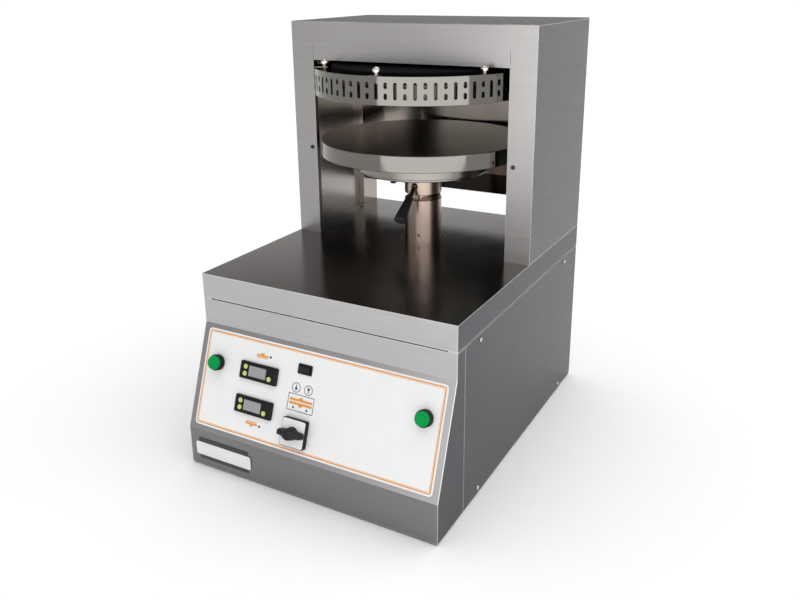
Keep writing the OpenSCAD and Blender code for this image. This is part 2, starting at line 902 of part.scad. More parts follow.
module guard_ring()
    color("#bdbab3")
        on_axis(ring_z) {
            difference() {
                tube(ring_r, ring_r - ring_t, ring_h);
                for (i = [0 : slot_n - 1])
                    rotate([0, 0, i * 360 / slot_n])
                        translate([0, 0, ring_h / 2])
                            if (i % 2 == 0)
                                ring_slot(slot_h);
                            else
                                for (s = [-1, 1])
                                    translate([0, 0, s * (slot_h - small_slot_h) / 2])
                                        ring_slot(small_slot_h);
            }
            around(stud_n, stud_from, stud_at)
                translate([0, 0, ring_h - tab_t])
                    difference() {
                        translate([-nut_r, -tab_w / 2, 0])
                            cube([ring_r - ring_t / 2 - stud_at + nut_r, tab_w, tab_t]);
                        translate([0, 0, -over])
                            cylinder(r = stud_r + stud_fit, h = tab_t + 2 * over);
                    }
        }

// Lifting column, lower plate and adjusting lever

module column()
    color("#b3a39a")
        on_axis()
            difference() {
                union() {
                    translate([0, 0, column_z]) cylinder(r = column_r, h = shoulder_z - column_z);
                    translate([0, 0, column_z]) cylinder(r = neck_r, h = carrier_z - column_z);
                    rotate([0, 0, cam_from])
                        translate([0, 0, shoulder_z - over])
                            rotate_extrude(angle = cam_angle)
                                translate([neck_r - over, 0])
                                    square([column_r - cam_inset - neck_r + over, groove_h - cam_gap + over]);
                }
                translate([0, 0, column_z - over]) cylinder(r = column_bore_r, h = column_bore_l + over);
                rotate([0, 0, sight_at])
                    translate([column_r - sight_depth, 0, top_z + sight_rise])
                        rotate([0, 90, 0])
                            cylinder(r = sight_r, h = sight_depth + over);
            }

module screw_nut()
    color("#b08d57")
        on_axis(column_z)
            difference() {
                union() {
                    translate([0, 0, -screw_nut_flange])
                        cylinder(r = screw_nut_flange_r, h = screw_nut_flange);
                    translate([0, 0, -screw_nut_flange])
                        cylinder(r = screw_nut_r, h = screw_nut_flange + screw_nut_l);
                }
                translate([0, 0, -screw_nut_flange - over])
                    cylinder(r = screw_shaft_r + run_fit, h = screw_nut_flange + screw_nut_l + 2 * over);
            }

module carrier()
    color("#c4c0b8")
        on_axis(carrier_z)
            difference() {
                union() {
                    cylinder(r = carrier_r, h = carrier_h);
                    cylinder(r = boss_r, h = carrier_h + carrier_gap);
                }
                translate([0, 0, carrier_h - heater_h])
                    tube(carrier_r - bolt_in / 2, boss_r, heater_h + over);
            }

module lower_heater()
    color("#8a4b32")
        on_axis(plate_z - plate_t - heater_h)
            tube(carrier_r - bolt_in / 2 - heater_fit, heater_in_r, heater_h);

module lower_plate()
    color("#c0bbb2")
        on_axis() {
            translate([0, 0, plate_z - plate_t]) cylinder(r = plate_r, h = plate_t);
            rotate([0, 0, locator_at])
                translate([carrier_r + locator_r + heater_fit, 0, plate_z - plate_t - locator_l])
                    cylinder(r = locator_r, h = locator_l + over);
        }

module carrier_bolts()
    color("#3c3a38")
        on_axis(carrier_z - bolt_h)
            around(bolt_n, 360 / bolt_n / 2, carrier_r - bolt_in)
                cylinder(r = bolt_r, h = bolt_h);

module lead_screw()
    color("#c2c4c6")
        on_axis(gearbox_top)
            cylinder(r = screw_shaft_r, h = screw_top_z - gearbox_top);

// Frame of the lever: its root on the collar's front, with +X along the rod
module along_lever()
    on_axis(collar_z + lever_rise)
        rotate([0, 0, -90])
            translate([neck_r + run_fit + (column_r - neck_r) / 2, 0, 0])
                rotate([0, lever_drop, 0])
                    rotate([0, 90, 0])
                        children();

module adjusting_collar()
    color("#b3a39a")
        difference() {
            union() {
                on_axis(collar_z) cylinder(r = column_r, h = collar_top - collar_z);
                along_lever() cylinder(r = rod_r, h = rod_l + grip_socket);
            }
            on_axis(collar_z - over) cylinder(r = neck_r + run_fit, h = collar_top - collar_z + 2 * over);
        }

module lever_grip()
    color("#262626")
        along_lever()
            translate([0, 0, rod_l])
                difference() {
                    cylinder(r1 = grip_r1, r2 = grip_r2, h = grip_l);
                    translate([0, 0, -over]) cylinder(r = rod_r, h = grip_socket + over);
                }

// Control panel

module overlay()
    color("#ececec")
        difference() {
            on_panel(0, 0) linear_extrude(overlay_t) rounded(overlay_w, overlay_h, overlay_r);
            panel_cuts(over);
        }

module on_kick(out)
    translate([badge_x - side_x, kick_y - out, badge_z])
        rotate([90, 0, 0])
            linear_extrude(badge_t)
                children();

module badge_plate() color("#303032") on_kick(0) rounded(badge_w, badge_h, badge_r);
module badge_bar() color("#e6e6e6") on_kick(badge_t) rounded(bar_w, bar_h, badge_r);

module button_barrels()
    color("#141414")
        for (x = [-button_x, button_x])
            on_panel(x, button_up)
                difference() {
                    union() {
                        translate([0, 0, overlay_t]) cylinder(r = barrel_r, h = barrel_h);
                        translate([0, 0, -barrel_l])
                            cylinder(r = neck_barrel_r, h = barrel_l + overlay_t + over);
                    }
                    translate([0, 0, overlay_t + barrel_h - barrel_depth])
                        cylinder(r = cap_r + cap_fit, h = barrel_depth + over);
                }

module start_button(x)
    color("#00a050")
        on_panel(x, button_up)
            translate([0, 0, overlay_t + barrel_h - cap_in])
                cylinder(r = cap_r, h = cap_in + cap_out);

module start_button_left() start_button(-button_x);
module start_button_right() start_button(button_x);

module thermostats()
    color("#0c0c0c")
        for (up = [-thermo_up, thermo_up])
            on_panel(-thermo_x, up)
                difference() {
                    union() {
                        translate([-thermo_w / 2, -thermo_h / 2, overlay_t])
                            cube([thermo_w, thermo_h, thermo_t]);
                        translate([-thermo_body_w / 2, -thermo_body_h / 2, -thermo_body_d])
                            cube([thermo_body_w, thermo_body_h, thermo_body_d + overlay_t + over]);
                    }
                    display_block(display_t + over);
                    for (p = key_places)
                        translate([p[0], p[1], overlay_t + thermo_t - key_well])
                            cylinder(r = key_r + key_fit, h = key_well + over);
                }

module display_block(h)
    translate([-display_left - display_w / 2, -display_h / 2, overlay_t + thermo_t - display_t])
        cube([display_w, display_h, h]);

module thermostat_displays()
    color("#9c9da0")
        for (up = [-thermo_up, thermo_up])
            on_panel(-thermo_x, up)
                display_block(display_t);

module thermo_key(up, place)
    color("#cdd37a")
        on_panel(-thermo_x, up)
            translate([place[0], place[1], overlay_t + thermo_t - key_in])
                cylinder(r = key_r, h = key_in + key_out);

module upper_key_plus() thermo_key(thermo_up, key_places[0]);
module upper_key_minus() thermo_key(thermo_up, key_places[1]);
module upper_key_set() thermo_key(thermo_up, key_places[2]);
module lower_key_plus() thermo_key(-thermo_up, key_places[0]);
module lower_key_minus() thermo_key(-thermo_up, key_places[1]);
module lower_key_set() thermo_key(-thermo_up, key_places[2]);

module rocker_frame()
    color("#101010")
        on_panel(-middle_x, rocker_up)
            difference() {
                union() {
                    translate([-rocker_w / 2, -rocker_h / 2, overlay_t])
                        cube([rocker_w, rocker_h, rocker_t]);
                    translate([cut_fit - rocker_w / 2, rocker_rim - rocker_h / 2, -rocker_body_d])
                        cube([rocker_w - 2 * cut_fit, rocker_h - 2 * rocker_rim,
                            rocker_body_d + overlay_t + over]);
                }
                translate([rocker_rim - rocker_w / 2, rocker_rim + rocker_fit - rocker_h / 2,
                        overlay_t + rocker_t - rocker_well])
                    cube([rocker_w - 2 * rocker_rim, rocker_h - 2 * rocker_rim - 2 * rocker_fit,
                        rocker_well + over]);
                rocker_pivot(run_fit);
            }

// The rocker's pivot pins, in one bar across its well
module rocker_pivot(fit)
    translate([0, 0, overlay_t])
        rotate([90, 0, 0])
            cylinder(r = pivot_r + fit, center = true,
                h = rocker_h - 2 * rocker_rim - 2 * rocker_fit + 2 * pivot_in + 2 * fit);

module rocker() {
    half_w = rocker_w / 2 - rocker_rim - rocker_fit;
    depth = rocker_h - 2 * rocker_rim - 2 * rocker_fit - rocker_fit;
    color("#1c1c1c")
        on_panel(-middle_x, rocker_up) {
            translate([0, 0, overlay_t + rocker_t])
                rotate([90, 0, 0])
                    linear_extrude(depth, center = true)
                        polygon([
                            [-half_w, -rocker_in], [half_w, -rocker_in], [half_w, rocker_out],
                            [0, rocker_out - rocker_dip], [-half_w, rocker_out]
                        ]);
            rocker_pivot(0);
        }
}

module switch_base()
    color("#121212")
        on_panel(-middle_x, -switch_down)
            difference() {
                union() {
                    translate([-switch_w / 2, -switch_w / 2, overlay_t])
                        cube([switch_w, switch_w, switch_t]);
                    translate([0, 0, -switch_body_d])
                        cylinder(r = switch_body_r, h = switch_body_d + overlay_t + over);
                }
                translate([0, 0, -switch_body_d / 2])
                    cylinder(r = spindle_r + run_fit, h = switch_body_d + switch_t + overlay_t);
            }

module switch_face()
    color("#f4f4f4")
        on_panel(-middle_x, -switch_down)
            translate([0, 0, overlay_t + switch_t])
                difference() {
                    translate([-switch_w / 2, -switch_w / 2, 0])
                        cube([switch_w, switch_w, switch_face_t]);
                    translate([0, 0, -over])
                        cylinder(r = spindle_r + run_fit, h = switch_face_t + 2 * over);
                }

module switch_knob()
    color("#0e0e0e")
        on_panel(-middle_x, -switch_down) {
            translate([0, 0, overlay_t + switch_t + switch_face_t + knob_gap]) {
                cylinder(r = knob_r, h = knob_h);
                translate([-knob_l / 2, -knob_wing_w / 2, 0]) cube([knob_l, knob_wing_w, knob_h]);
            }
            cylinder(r = spindle_r, h = overlay_t + switch_t + switch_face_t + knob_gap + over);
        }

feet();
base_plate();
front_panel();
side_panel_left();
side_panel_right();
rear_panel();
casing_screws();
worktop();
frame_posts();
bridge_plate();
guide_housing();
guide_bush();
gearmotor();
screw_bearing();
control_box();
contactor();
cord_gland();
head_front();
head_side_left();
head_side_right();
head_top();
rear_cover();
rear_liner();
rear_posts();
upper_bridge();
hanger_rods();
upper_cover();
upper_heater();
upper_plate();
lifting_studs();
cap_nuts();
overlay();
badge_plate();
badge_bar();
button_barrels();
thermostats();
thermostat_displays();
rocker_frame();
switch_base();
switch_face();
guard_ring();
column();
screw_nut();
carrier();
lower_heater();
lower_plate();
carrier_bolts();
lead_screw();
adjusting_collar();
lever_grip();
start_button_left();
start_button_right();
rocker();
switch_knob();
upper_key_plus();
upper_key_minus();
upper_key_set();
lower_key_plus();
lower_key_minus();
lower_key_set();
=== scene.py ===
"""Looks of a countertop dough press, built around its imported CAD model.

Pieces are drawn in millimetres, in the press's own frame or the control panel's, and turned to metres once.
"""

import json
import math

import bmesh
import bpy
from bpy.props import FloatProperty, FloatVectorProperty, IntProperty, PointerProperty
from mathutils import Matrix, Vector


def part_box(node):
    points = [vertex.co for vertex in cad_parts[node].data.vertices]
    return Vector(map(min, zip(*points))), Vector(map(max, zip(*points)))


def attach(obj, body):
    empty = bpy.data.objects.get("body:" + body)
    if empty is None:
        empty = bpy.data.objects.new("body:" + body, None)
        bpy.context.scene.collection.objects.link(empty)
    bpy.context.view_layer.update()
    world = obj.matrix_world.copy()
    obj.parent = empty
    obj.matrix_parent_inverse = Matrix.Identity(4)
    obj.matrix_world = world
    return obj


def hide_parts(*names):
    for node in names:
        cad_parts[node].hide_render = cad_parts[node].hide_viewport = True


bl_info = {
    "name": "Dough press looks",
    "version": (1, 0, 0),
    "blender": (4, 5, 0),
    "location": "View3D > Sidebar > Dough press",
    "description": "Dresses the packed model of a countertop dough press",
    "category": "Object",
}

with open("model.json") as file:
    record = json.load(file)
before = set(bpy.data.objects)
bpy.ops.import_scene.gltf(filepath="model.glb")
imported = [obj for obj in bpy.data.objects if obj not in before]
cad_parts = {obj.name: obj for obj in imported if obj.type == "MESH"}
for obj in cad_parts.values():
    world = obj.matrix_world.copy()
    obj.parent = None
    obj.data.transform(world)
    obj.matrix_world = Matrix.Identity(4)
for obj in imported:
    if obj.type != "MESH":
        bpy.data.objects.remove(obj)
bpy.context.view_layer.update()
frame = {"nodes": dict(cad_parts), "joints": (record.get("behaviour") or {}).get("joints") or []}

MM = 0.001
JOINTS = {joint["name"]: joint for joint in frame["joints"]}


def srgb(code):
    """Linear colour of an sRGB hex value."""
    parts = [int(code[i : i + 2], 16) / 255 for i in (1, 3, 5)]
    linear = [c / 12.92 if c <= 0.04045 else ((c + 0.055) / 1.055) ** 2.4 for c in parts]
    return (*linear, 1.0)


def span(node):
    """Lowest and highest corner of a CAD node, in millimetres."""
    low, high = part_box(node)
    return low / MM, high / MM


def round_span(node):
    """Radius of a round CAD node, and its lowest and highest level."""
    low, high = span(node)
    return (high.x - low.x) / 2, low.z, high.z


def middle(node):
    """Centre of a CAD node's box, in millimetres."""
    low, high = span(node)
    return (low + high) / 2


# Frame of the slanted control panel: X across, Y up the slope, Z out of it, zero on the bare sheet
PANEL_UP = Vector(JOINTS["rocker_tilt"]["axis"]).normalized()
PANEL_OUT = -Vector(JOINTS["start_left_press"]["axis"]).normalized()
OVERLAY_T = 0.6
PANEL_MIDDLE = middle("overlay") - PANEL_OUT * OVERLAY_T / 2
# Upright axis of the press, through the column's middle
AXIS = Vector((middle("column").x, middle("column").y, 0))
# Radius of the column and of its neck, and the height of its shoulder above the worktop
COLUMN_R, NECK_R, SHOULDER_RISE = 40.0, 30.0, 92.0
# The guard ring hangs on studs: the radius of their circle, and the first one's angle in degrees
STUD_CIRCLE, STUD_FIRST = 203.0, 32


def on_axis(z):
    """The point of the press axis at a height."""
    return AXIS + Vector((0, 0, z))


def panel_frame(x=0.0, up=0.0, out=0.0):
    """Matrix from a place on the control panel to the press's frame."""
    across = Vector((1, 0, 0))
    turn = Matrix((across, PANEL_UP, PANEL_OUT)).transposed().to_4x4()
    place = PANEL_MIDDLE + across * x + PANEL_UP * up + PANEL_OUT * out
    return Matrix.Translation(place) @ turn


def panel_place(node):
    """Where a CAD node's middle lies on the control panel: across and up."""
    offset = middle(node) - PANEL_MIDDLE
    return offset.x, offset.dot(PANEL_UP)


class PressSizes(bpy.types.PropertyGroup):
    """Sizes of the details that the looks add."""

    edge: FloatProperty(
        name="Sheet edge", description="Radius of the folded sheets' edges", default=1.0 * MM, unit="LENGTH"
    )
    streak: FloatProperty(
        name="Brush streak", description="Width of a brushed streak", default=2.2 * MM, unit="LENGTH"
    )
    ring_columns: IntProperty(
        name="Slot columns", description="Slot columns around the guard ring", default=76
    )
    slot_w: FloatProperty(
        name="Slot width", description="Width of the guard ring's slots", default=7 * MM, unit="LENGTH"
    )
    slot_h: FloatProperty(
        name="Tall slot", description="Height of the tall slots", default=32 * MM, unit="LENGTH"
    )
    small_h: FloatProperty(
        name="Small slot", description="Height of the small slots", default=12 * MM, unit="LENGTH"
    )
    ink: FloatProperty(
        name="Ink", description="Thickness of the printed marks", default=0.06 * MM, unit="LENGTH"
    )


class PressColours(bpy.types.PropertyGroup):
    """Colours of the main finishes."""

    front: FloatVectorProperty(
        name="Front sheets", description="Brushed sheets of the front", subtype="COLOR",
        default=srgb("#B2B0B1")[:3],
    )
    # The right side's colour is painted darker than the left side's, as painted shade
    sides: FloatVectorProperty(
        name="Right side", description="Brushed sheets of the right side", subtype="COLOR",
        default=srgb("#525257")[:3],
    )
    lit_side: FloatVectorProperty(
        name="Left side", description="Brushed sheets of the left side", subtype="COLOR",
        default=srgb("#8A8A8E")[:3],
    )
    overlay: FloatVectorProperty(
        name="Overlay", description="Film of the control panel", subtype="COLOR", default=srgb("#F6F6F6")[:3]
    )
    button: FloatVectorProperty(
        name="Push buttons", description="Caps of the push buttons", subtype="COLOR",
        default=srgb("#009C4C")[:3],
    )
    print_orange: FloatVectorProperty(
        name="Printed marks", description="Coloured marks", subtype="COLOR", default=srgb("#E8982C")[:3]
    )


def sizes():
    """The user's sizes."""
    return bpy.context.scene.dough_press_sizes


def colours():
    """The user's colours."""
    return bpy.context.scene.dough_press_colours


def add(tree, kind, links=None, out=0, **settings):
    """Add a node, with its settings, and set or link its inputs. Gives one of its outputs, if it has any."""
    node = tree.nodes.new(kind)
    for name, value in settings.items():
        setattr(node, name, value)
    for key, value in (links or {}).items():
        socket = node.inputs[key]
        if isinstance(value, bpy.types.NodeSocket):
            tree.links.new(value, socket)
        else:
            socket.default_value = value
    return node.outputs[out] if node.outputs else None


def shade(colour, factor):
    """A colour made lighter or darker by a factor."""
    return (*[min(1.0, c * factor) for c in colour[:3]], 1.0)


# Noise values lie mostly in this range
NOISE = {"From Min": 0.3, "From Max": 0.7}
# A face looks along a direction if its normal's cosine with it is more than this
FACING = 0.97


def grained(name, grain_mm, cloud_mm):
    """An empty material with two noises on Object coordinates, its grain and a wide clouding.
    A size for each axis stretches the grain."""
    material = bpy.data.materials.new(name)
    material.use_nodes = True
    tree = material.node_tree
    tree.nodes.clear()
    place = add(tree, "ShaderNodeTexCoord", out="Object")
    noises = []
    for size in (grain_mm, cloud_mm):
        across = size if isinstance(size, tuple) else (size,) * 3
        scale = tuple(1 / (width * MM) for width in across)
        spread = add(tree, "ShaderNodeMapping", {"Vector": place, "Scale": scale})
        noises.append(add(tree, "ShaderNodeTexNoise", {"Vector": spread, "Scale": 1.0, "Detail": 2.0}))
    return material, tree, place, noises


def metal(
    name, colour, rough, grain_mm, spread=0.05, contrast=0.06, relief=0.04, zones=(), highlight_mm=0.0, glance=1.0
):
    """A metal with grain of the given size. Zones list (where, roughness, colour) for the faces that look
    along a direction or lie under a height in millimetres. Highlight is the width of the painted highlight, a
    light line painted along a sheet's edges. Glance is how much it still mirrors when seen almost along its
    surface."""
    material, tree, place, (grain, cloud) = grained(name, grain_mm, cloud_mm=160.0)
    shares = []
    for value, share in ((grain, 0.7), (cloud, 0.3)):
        shares.append(add(tree, "ShaderNodeMapRange", {"Value": value, **NOISE, "To Max": share}))
    tone = add(tree, "ShaderNodeMath", dict(enumerate(shares)))
    normal = add(tree, "ShaderNodeNewGeometry", out="True Normal") if zones or highlight_mm else None
    for where, zone_rough, zone_colour in ((None, rough, colour), *zones):
        links = {"Factor": tone, 6: shade(zone_colour, 1 - contrast), 7: shade(zone_colour, 1 + contrast)}
        tint = add(tree, "ShaderNodeMix", links, data_type="RGBA", out=2)
        ripple = spread if where is None else spread / 2
        links = {"Value": grain, **NOISE, "To Min": zone_rough - ripple, "To Max": zone_rough + ripple}
        gloss = add(tree, "ShaderNodeMapRange", links)
        if where is None:
            all_tint, all_gloss = tint, gloss
            continue
        if isinstance(where, float):
            height = add(tree, "ShaderNodeSeparateXYZ", {0: place}, out="Z")
            mask = add(tree, "ShaderNodeMath", {0: height, 1: where * MM}, operation="LESS_THAN")
        else:
            links = {0: normal, 1: where}
            along = add(tree, "ShaderNodeVectorMath", links, out="Value", operation="DOT_PRODUCT")
            mask = add(tree, "ShaderNodeMath", {0: along, 1: FACING}, operation="GREATER_THAN")
        links = {"Factor": mask, 6: all_tint, 7: tint}
        all_tint = add(tree, "ShaderNodeMix", links, data_type="RGBA", out=2)
        all_gloss = add(tree, "ShaderNodeMix", {"Factor": mask, 2: all_gloss, 3: gloss})
    if highlight_mm:
        # Painted highlight: a light colour painted in a thin line along folded edges, for the light that they
        # catch
        soft = add(tree, "ShaderNodeBevel", {"Radius": highlight_mm * MM}, samples=6)
        links = {0: soft, 1: normal}
        bend = add(tree, "ShaderNodeVectorMath", links, out="Value", operation="DOT_PRODUCT")
        links = {"Value": bend, "From Min": 0.99, "From Max": 0.93, "To Max": 0.95}
        painted_highlight = add(tree, "ShaderNodeMapRange", links)
        links = {"Factor": painted_highlight, 6: all_tint, 7: srgb("#DEDCDA")}
        all_tint = add(tree, "ShaderNodeMix", links, data_type="RGBA", out=2)
    bump = add(tree, "ShaderNodeBump", {"Height": grain, "Strength": relief, "Distance": 0.2 * MM})
    links = {
        "Metallic": 1.0, "Base Color": all_tint, "Roughness": all_gloss, "Normal": bump,
        "Specular Tint": (glance, glance, glance, 1),
    }
    surface = add(tree, "ShaderNodeBsdfPrincipled", links)
    add(tree, "ShaderNodeOutputMaterial", {"Surface": surface})
    return material


def moulded(name, colour, rough, grain_mm=0.8, relief=0.08, contrast=0.08, ior=1.5):
    """A moulded or coated surface: an even colour with a fine grain that breaks up the gloss."""
    material, tree, _, (grain, cloud) = grained(name, grain_mm, cloud_mm=40.0)
    tone = add(tree, "ShaderNodeMapRange", {"Value": cloud, **NOISE})
    links = {"Factor": tone, 6: shade(colour, 1 - contrast), 7: shade(colour, 1 + contrast)}
    tint = add(tree, "ShaderNodeMix", links, data_type="RGBA", out=2)
    links = {"Value": grain, **NOISE, "To Min": rough - 0.05, "To Max": rough + 0.05}
    gloss = add(tree, "ShaderNodeMapRange", links)
    bump = add(tree, "ShaderNodeBump", {"Height": grain, "Strength": relief, "Distance": 0.1 * MM})
    links = {"Base Color": tint, "Roughness": gloss, "Normal": bump, "IOR": ior}
    surface = add(tree, "ShaderNodeBsdfPrincipled", links)
    add(tree, "ShaderNodeOutputMaterial", {"Surface": surface})
    return material


FINISH = {}


def make_finishes():
    """Every material of the press, by a short name."""
    # Width and length of a brushed streak, and the width of the painted highlight line along a sheet's edge
    streak, stroke, edge = sizes().streak / MM, 90.0, 2.4
    level = (stroke, stroke, streak)
    lengthwise = (streak, stroke, streak)
    turned = (120.0, 120.0, 1.5)
    front = (*colours().front, 1.0)
    sides = (*colours().sides, 1.0)
    lit = (*colours().lit_side, 1.0)
    # Faces that look right take the right side's painted shade, faces that look left the left side's lit tone
    lit_and_shaded_flanks = [((1, 0, 0), 0.38, sides), ((-1, 0, 0), 0.38, lit)]
    # Painted shade: the darker colour of the head's right wall, also painted on the head front's faces that
    # look right
    wall = srgb("#646466")
    walls = [((1, 0, 0), 0.38, wall), ((-1, 0, 0), 0.38, lit)]
    polish = srgb("#A09C98")
    FINISH.update(
        # Cold-rolled stainless sheet, brushed level: soft wide reflections, fine level streaks.
        # The real streaks are a tenth of a millimetre wide, drawn coarser here so that they show.
        # The slanted sheet and the kick plate under it are rougher, and their colour is painted darker as
        # painted shade: the slanted one for the dim space it faces, the kick plate for the shaded floor in
        # front of it.
        front=metal(
            "brushed_stainless_front", front, 0.36, level, highlight_mm=edge,
            zones=[(82.0, 0.42, srgb("#807E7F")), (tuple(PANEL_OUT), 0.32, srgb("#868485")), *lit_and_shaded_flanks],
        ),
        # The same sheet on the left and right, as lit and shaded copies: the right one's colour is painted
        # darker, as painted shade for its turn from the light.
        sides=metal("brushed_stainless_right_painted_shade", sides, 0.36, level, highlight_mm=edge, contrast=0.1),
        lit_side=metal("brushed_stainless_left", lit, 0.36, level, highlight_mm=edge, contrast=0.1),
        # The rear sheets' inner faces are painted dark, as painted reflection of the dark space under the
        # plates.
        rear=metal(
            "brushed_stainless_rear", srgb("#A3A2A2"), 0.34, level, highlight_mm=edge, contrast=0.08,
            zones=[((0, -1, 0), 0.12, srgb("#3A3634"))],
        ),
        # The inner faces of the head's walls keep the mill's mirror finish; the right wall's other faces are
        # painted darker as painted shade, and the left wall's take the lit tone.
        wall_left=metal(
            "stainless_wall_left", lit, 0.38, level, highlight_mm=edge, zones=[((1, 0, 0), 0.24, polish)]
        ),
        wall_right=metal(
            "stainless_wall_right_painted_shade", wall, 0.38, level, highlight_mm=edge, zones=[((-1, 0, 0), 0.24, polish)]
        ),
        # A narrower painted highlight line on the head's front keeps the slits above the pillars dark; its
        # faces that look right are painted darker as painted shade, and those that look left take the lit
        # tone.
        head=metal("brushed_stainless_head", srgb("#969493"), 0.34, level, highlight_mm=0.8, zones=walls),
        roof=metal("brushed_stainless_roof", srgb("#8A8886"), 0.3, lengthwise, highlight_mm=edge, glance=0.2),
        # The worktop's upper face is polished, and its colour is painted darker as painted reflection of the
        # dark space behind; its skirt is brushed as the front is.
        worktop=metal(
            "stainless_worktop", front, 0.34, level, highlight_mm=edge,
            zones=[((0, 0, 1), 0.2, srgb("#7E7A77")), *lit_and_shaded_flanks],
        ),
        mirror=metal("mirror_stainless", srgb("#A09A93"), 0.14, 60.0, spread=0.02, relief=0.01),
        # Bright rolled strip of the guard ring and the plates' turned rims.
        bright=metal("bright_rolled_steel", srgb("#6C6A66"), 0.08, turned, spread=0.03, contrast=0.03),
        # The fixed plate's rim, dulled by heat behind the guard ring.
        dulled=metal("heat_dulled_steel", srgb("#4A4744"), 0.4, turned),
        # Ground plate faces: a fine even grain under a dark polish.
        plate=metal("ground_plate_steel", srgb("#8A837C"), 0.2, 4.0, spread=0.04, relief=0.02),
        # Ground and chromed shafts: smooth upright reflections with a warm tone.
        shaft=metal(
            "ground_shaft_steel", srgb("#AC9A8F"), 0.28, (3.0, 3.0, 120.0), 0.03, contrast=0.03, relief=0.01
        ),
        # The cam and the lever's rod are oiled black steel that has browned.
        browned=metal("browned_steel", srgb("#5F4E45"), 0.3, (40.0, 40.0, 1.0)),
        chrome=metal("chromed_nut", srgb("#BDBAB3"), 0.07, 12.0, spread=0.02, contrast=0.02, relief=0.01),
        carrier=metal("turned_carrier", srgb("#7F7C77"), 0.22, (140.0, 140.0, 1.6)),
        bolt=metal("blackened_bolt", srgb("#3F3D3B"), 0.35, 3.0),
        screw=metal("plated_screw", srgb("#B4B4B6"), 0.25, 2.0),
        bronze=metal("sintered_bronze", srgb("#A98752"), 0.4, 1.5),
        # Enamel and paint: dark, close grain with a satin gloss.
        enamel=moulded("black_enamel", srgb("#050505"), 0.75, 1.2, ior=1.12),
        paint=moulded("grey_machine_paint", srgb("#63676B"), 0.45, 1.6, 0.15),
        cast=moulded("cast_iron_grey", srgb("#72767A"), 0.55, 2.4, 0.3),
        heater=moulded("heater_mica", srgb("#8A4B32"), 0.6, 2.0, 0.2),
        # Moulded plastics: an even colour, the gloss softened by the tool's texture.
        black=moulded("black_nylon", srgb("#0B0B0B"), 0.5, ior=1.35),
        gloss=moulded("gloss_black_abs", srgb("#050505"), 0.3, 2.0, 0.02, ior=1.3),
        grip=moulded("moulded_grip", srgb("#202021"), 0.5, 1.2, 0.12),
        worn=moulded("worn_grip_end", srgb("#3C3C3D"), 0.5, 1.5, 0.15),
        white=moulded("white_abs", srgb("#F2F2F2"), 0.35, contrast=0.02),
        green=moulded("green_polycarbonate", (*colours().button, 1.0), 0.35, 1.6, 0.03, ior=1.15),
        key=moulded("lime_silicone_key", srgb("#CDD37A"), 0.5),
        display=moulded("unlit_display", srgb("#9C9DA0"), 0.18, 6.0, 0.01, 0.03),
        # Printed polyester film: flat, faintly pebbled, and its screen-printed inks.
        film=moulded("polyester_film", (*colours().overlay, 1.0), 0.38, 1.0, 0.05, 0.012),
        orange=moulded("orange_ink", (*colours().print_orange, 1.0), 0.45, contrast=0.04),
        ink=moulded("black_ink", srgb("#161616"), 0.45),
        # Rubber: matt, with a dusty open grain.
        rubber=moulded("black_rubber", srgb("#1F1F20"), 0.8, 1.5, 0.3),
        dark_plate=moulded("anodised_dark_plate", srgb("#303032"), 0.35, 0.9, 0.05),
    )


def rounded(w, h, r, x=0.0, y=0.0):
    """Outline of a rectangle with round corners."""
    points = []
    for cx, cy, start in ((1, 1, 0), (-1, 1, 90), (-1, -1, 180), (1, -1, 270)):
        for turn in range(0, 91, 15):
            a = math.radians(start + turn)
            points.append((x + cx * (w / 2 - r) + r * math.cos(a), y + cy * (h / 2 - r) + r * math.sin(a)))
    return points


def disc(r, x=0.0, y=0.0, steps=40):
    """Outline of a circle."""
    angles = [2 * math.pi * i / steps for i in range(steps)]
    return [(x + r * math.cos(a), y + r * math.sin(a)) for a in angles]


def skinned(rows, closed=False):
    """A solid over rows of points, each a loop or one point; its ends are capped, or joined if closed."""
    shape = bmesh.new()
    rings = [[shape.verts.new(point) for point in row] for row in rows]
    count = max(len(ring) for ring in rings)
    for one, two in zip(rings, rings[1:] + rings[:1] if closed else rings[1:]):
        for i in range(count):
            j = (i + 1) % count
            corners = (one[i % len(one)], one[j % len(one)], two[j % len(two)], two[i % len(two)])
            shape.faces.new(list(dict.fromkeys(corners)))
    for ring in (rings[0], rings[-1]):
        if len(ring) > 1 and not closed:
            shape.faces.new(ring)
    bmesh.ops.recalc_face_normals(shape, faces=shape.faces)
    return shape


def lathe(profile, turns):
    """A turned shape from (radius, height) points; one that leaves the axis closes on itself."""
    rows = [[(x, y, z) for x, y in disc(r, steps=turns if r else 1)] for r, z in profile]
    return skinned(rows, closed=profile[0][0] > 0 and profile[-1][0] > 0)


def prism(outline, low, high, edge=0.0):
    """An outline raised from low to high, its upper rim rounded by edge."""
    shape = skinned([[(x, y, z) for x, y in outline] for z in (low, high)])
    if edge:
        shape.faces.ensure_lookup_table()
        softened(shape, list(shape.faces[-1].edges), edge, 3)
    return shape


def softened(shape, edges, radius, steps):
    """The shape with the given edges rounded."""
    bmesh.ops.bevel(shape, geom=edges, offset=radius, segments=steps, profile=0.5, affect="EDGES")
    return shape


def creases(shape, angle):
    """The edges that bend more than an angle."""
    return [edge for edge in shape.edges if edge.is_manifold and edge.calc_face_angle(0) > angle]


def loop_strip(outer, inner, low, high):
    """A closed line of constant height between two outlines with as many points."""
    corners = ((outer, low), (outer, high), (inner, high), (inner, low))
    return skinned([[(x, y, z) for x, y in outline] for outline, z in corners], closed=True)


def at(x, y, z, tilt=0.0):
    """Matrix to a place in millimetres, tilted about X by an angle in degrees."""
    return Matrix.Translation((x, y, z)) @ Matrix.Rotation(math.radians(tilt), 4, "X")


def moved(shape, matrix):
    """The shape at another place."""
    shape.transform(matrix)
    return shape


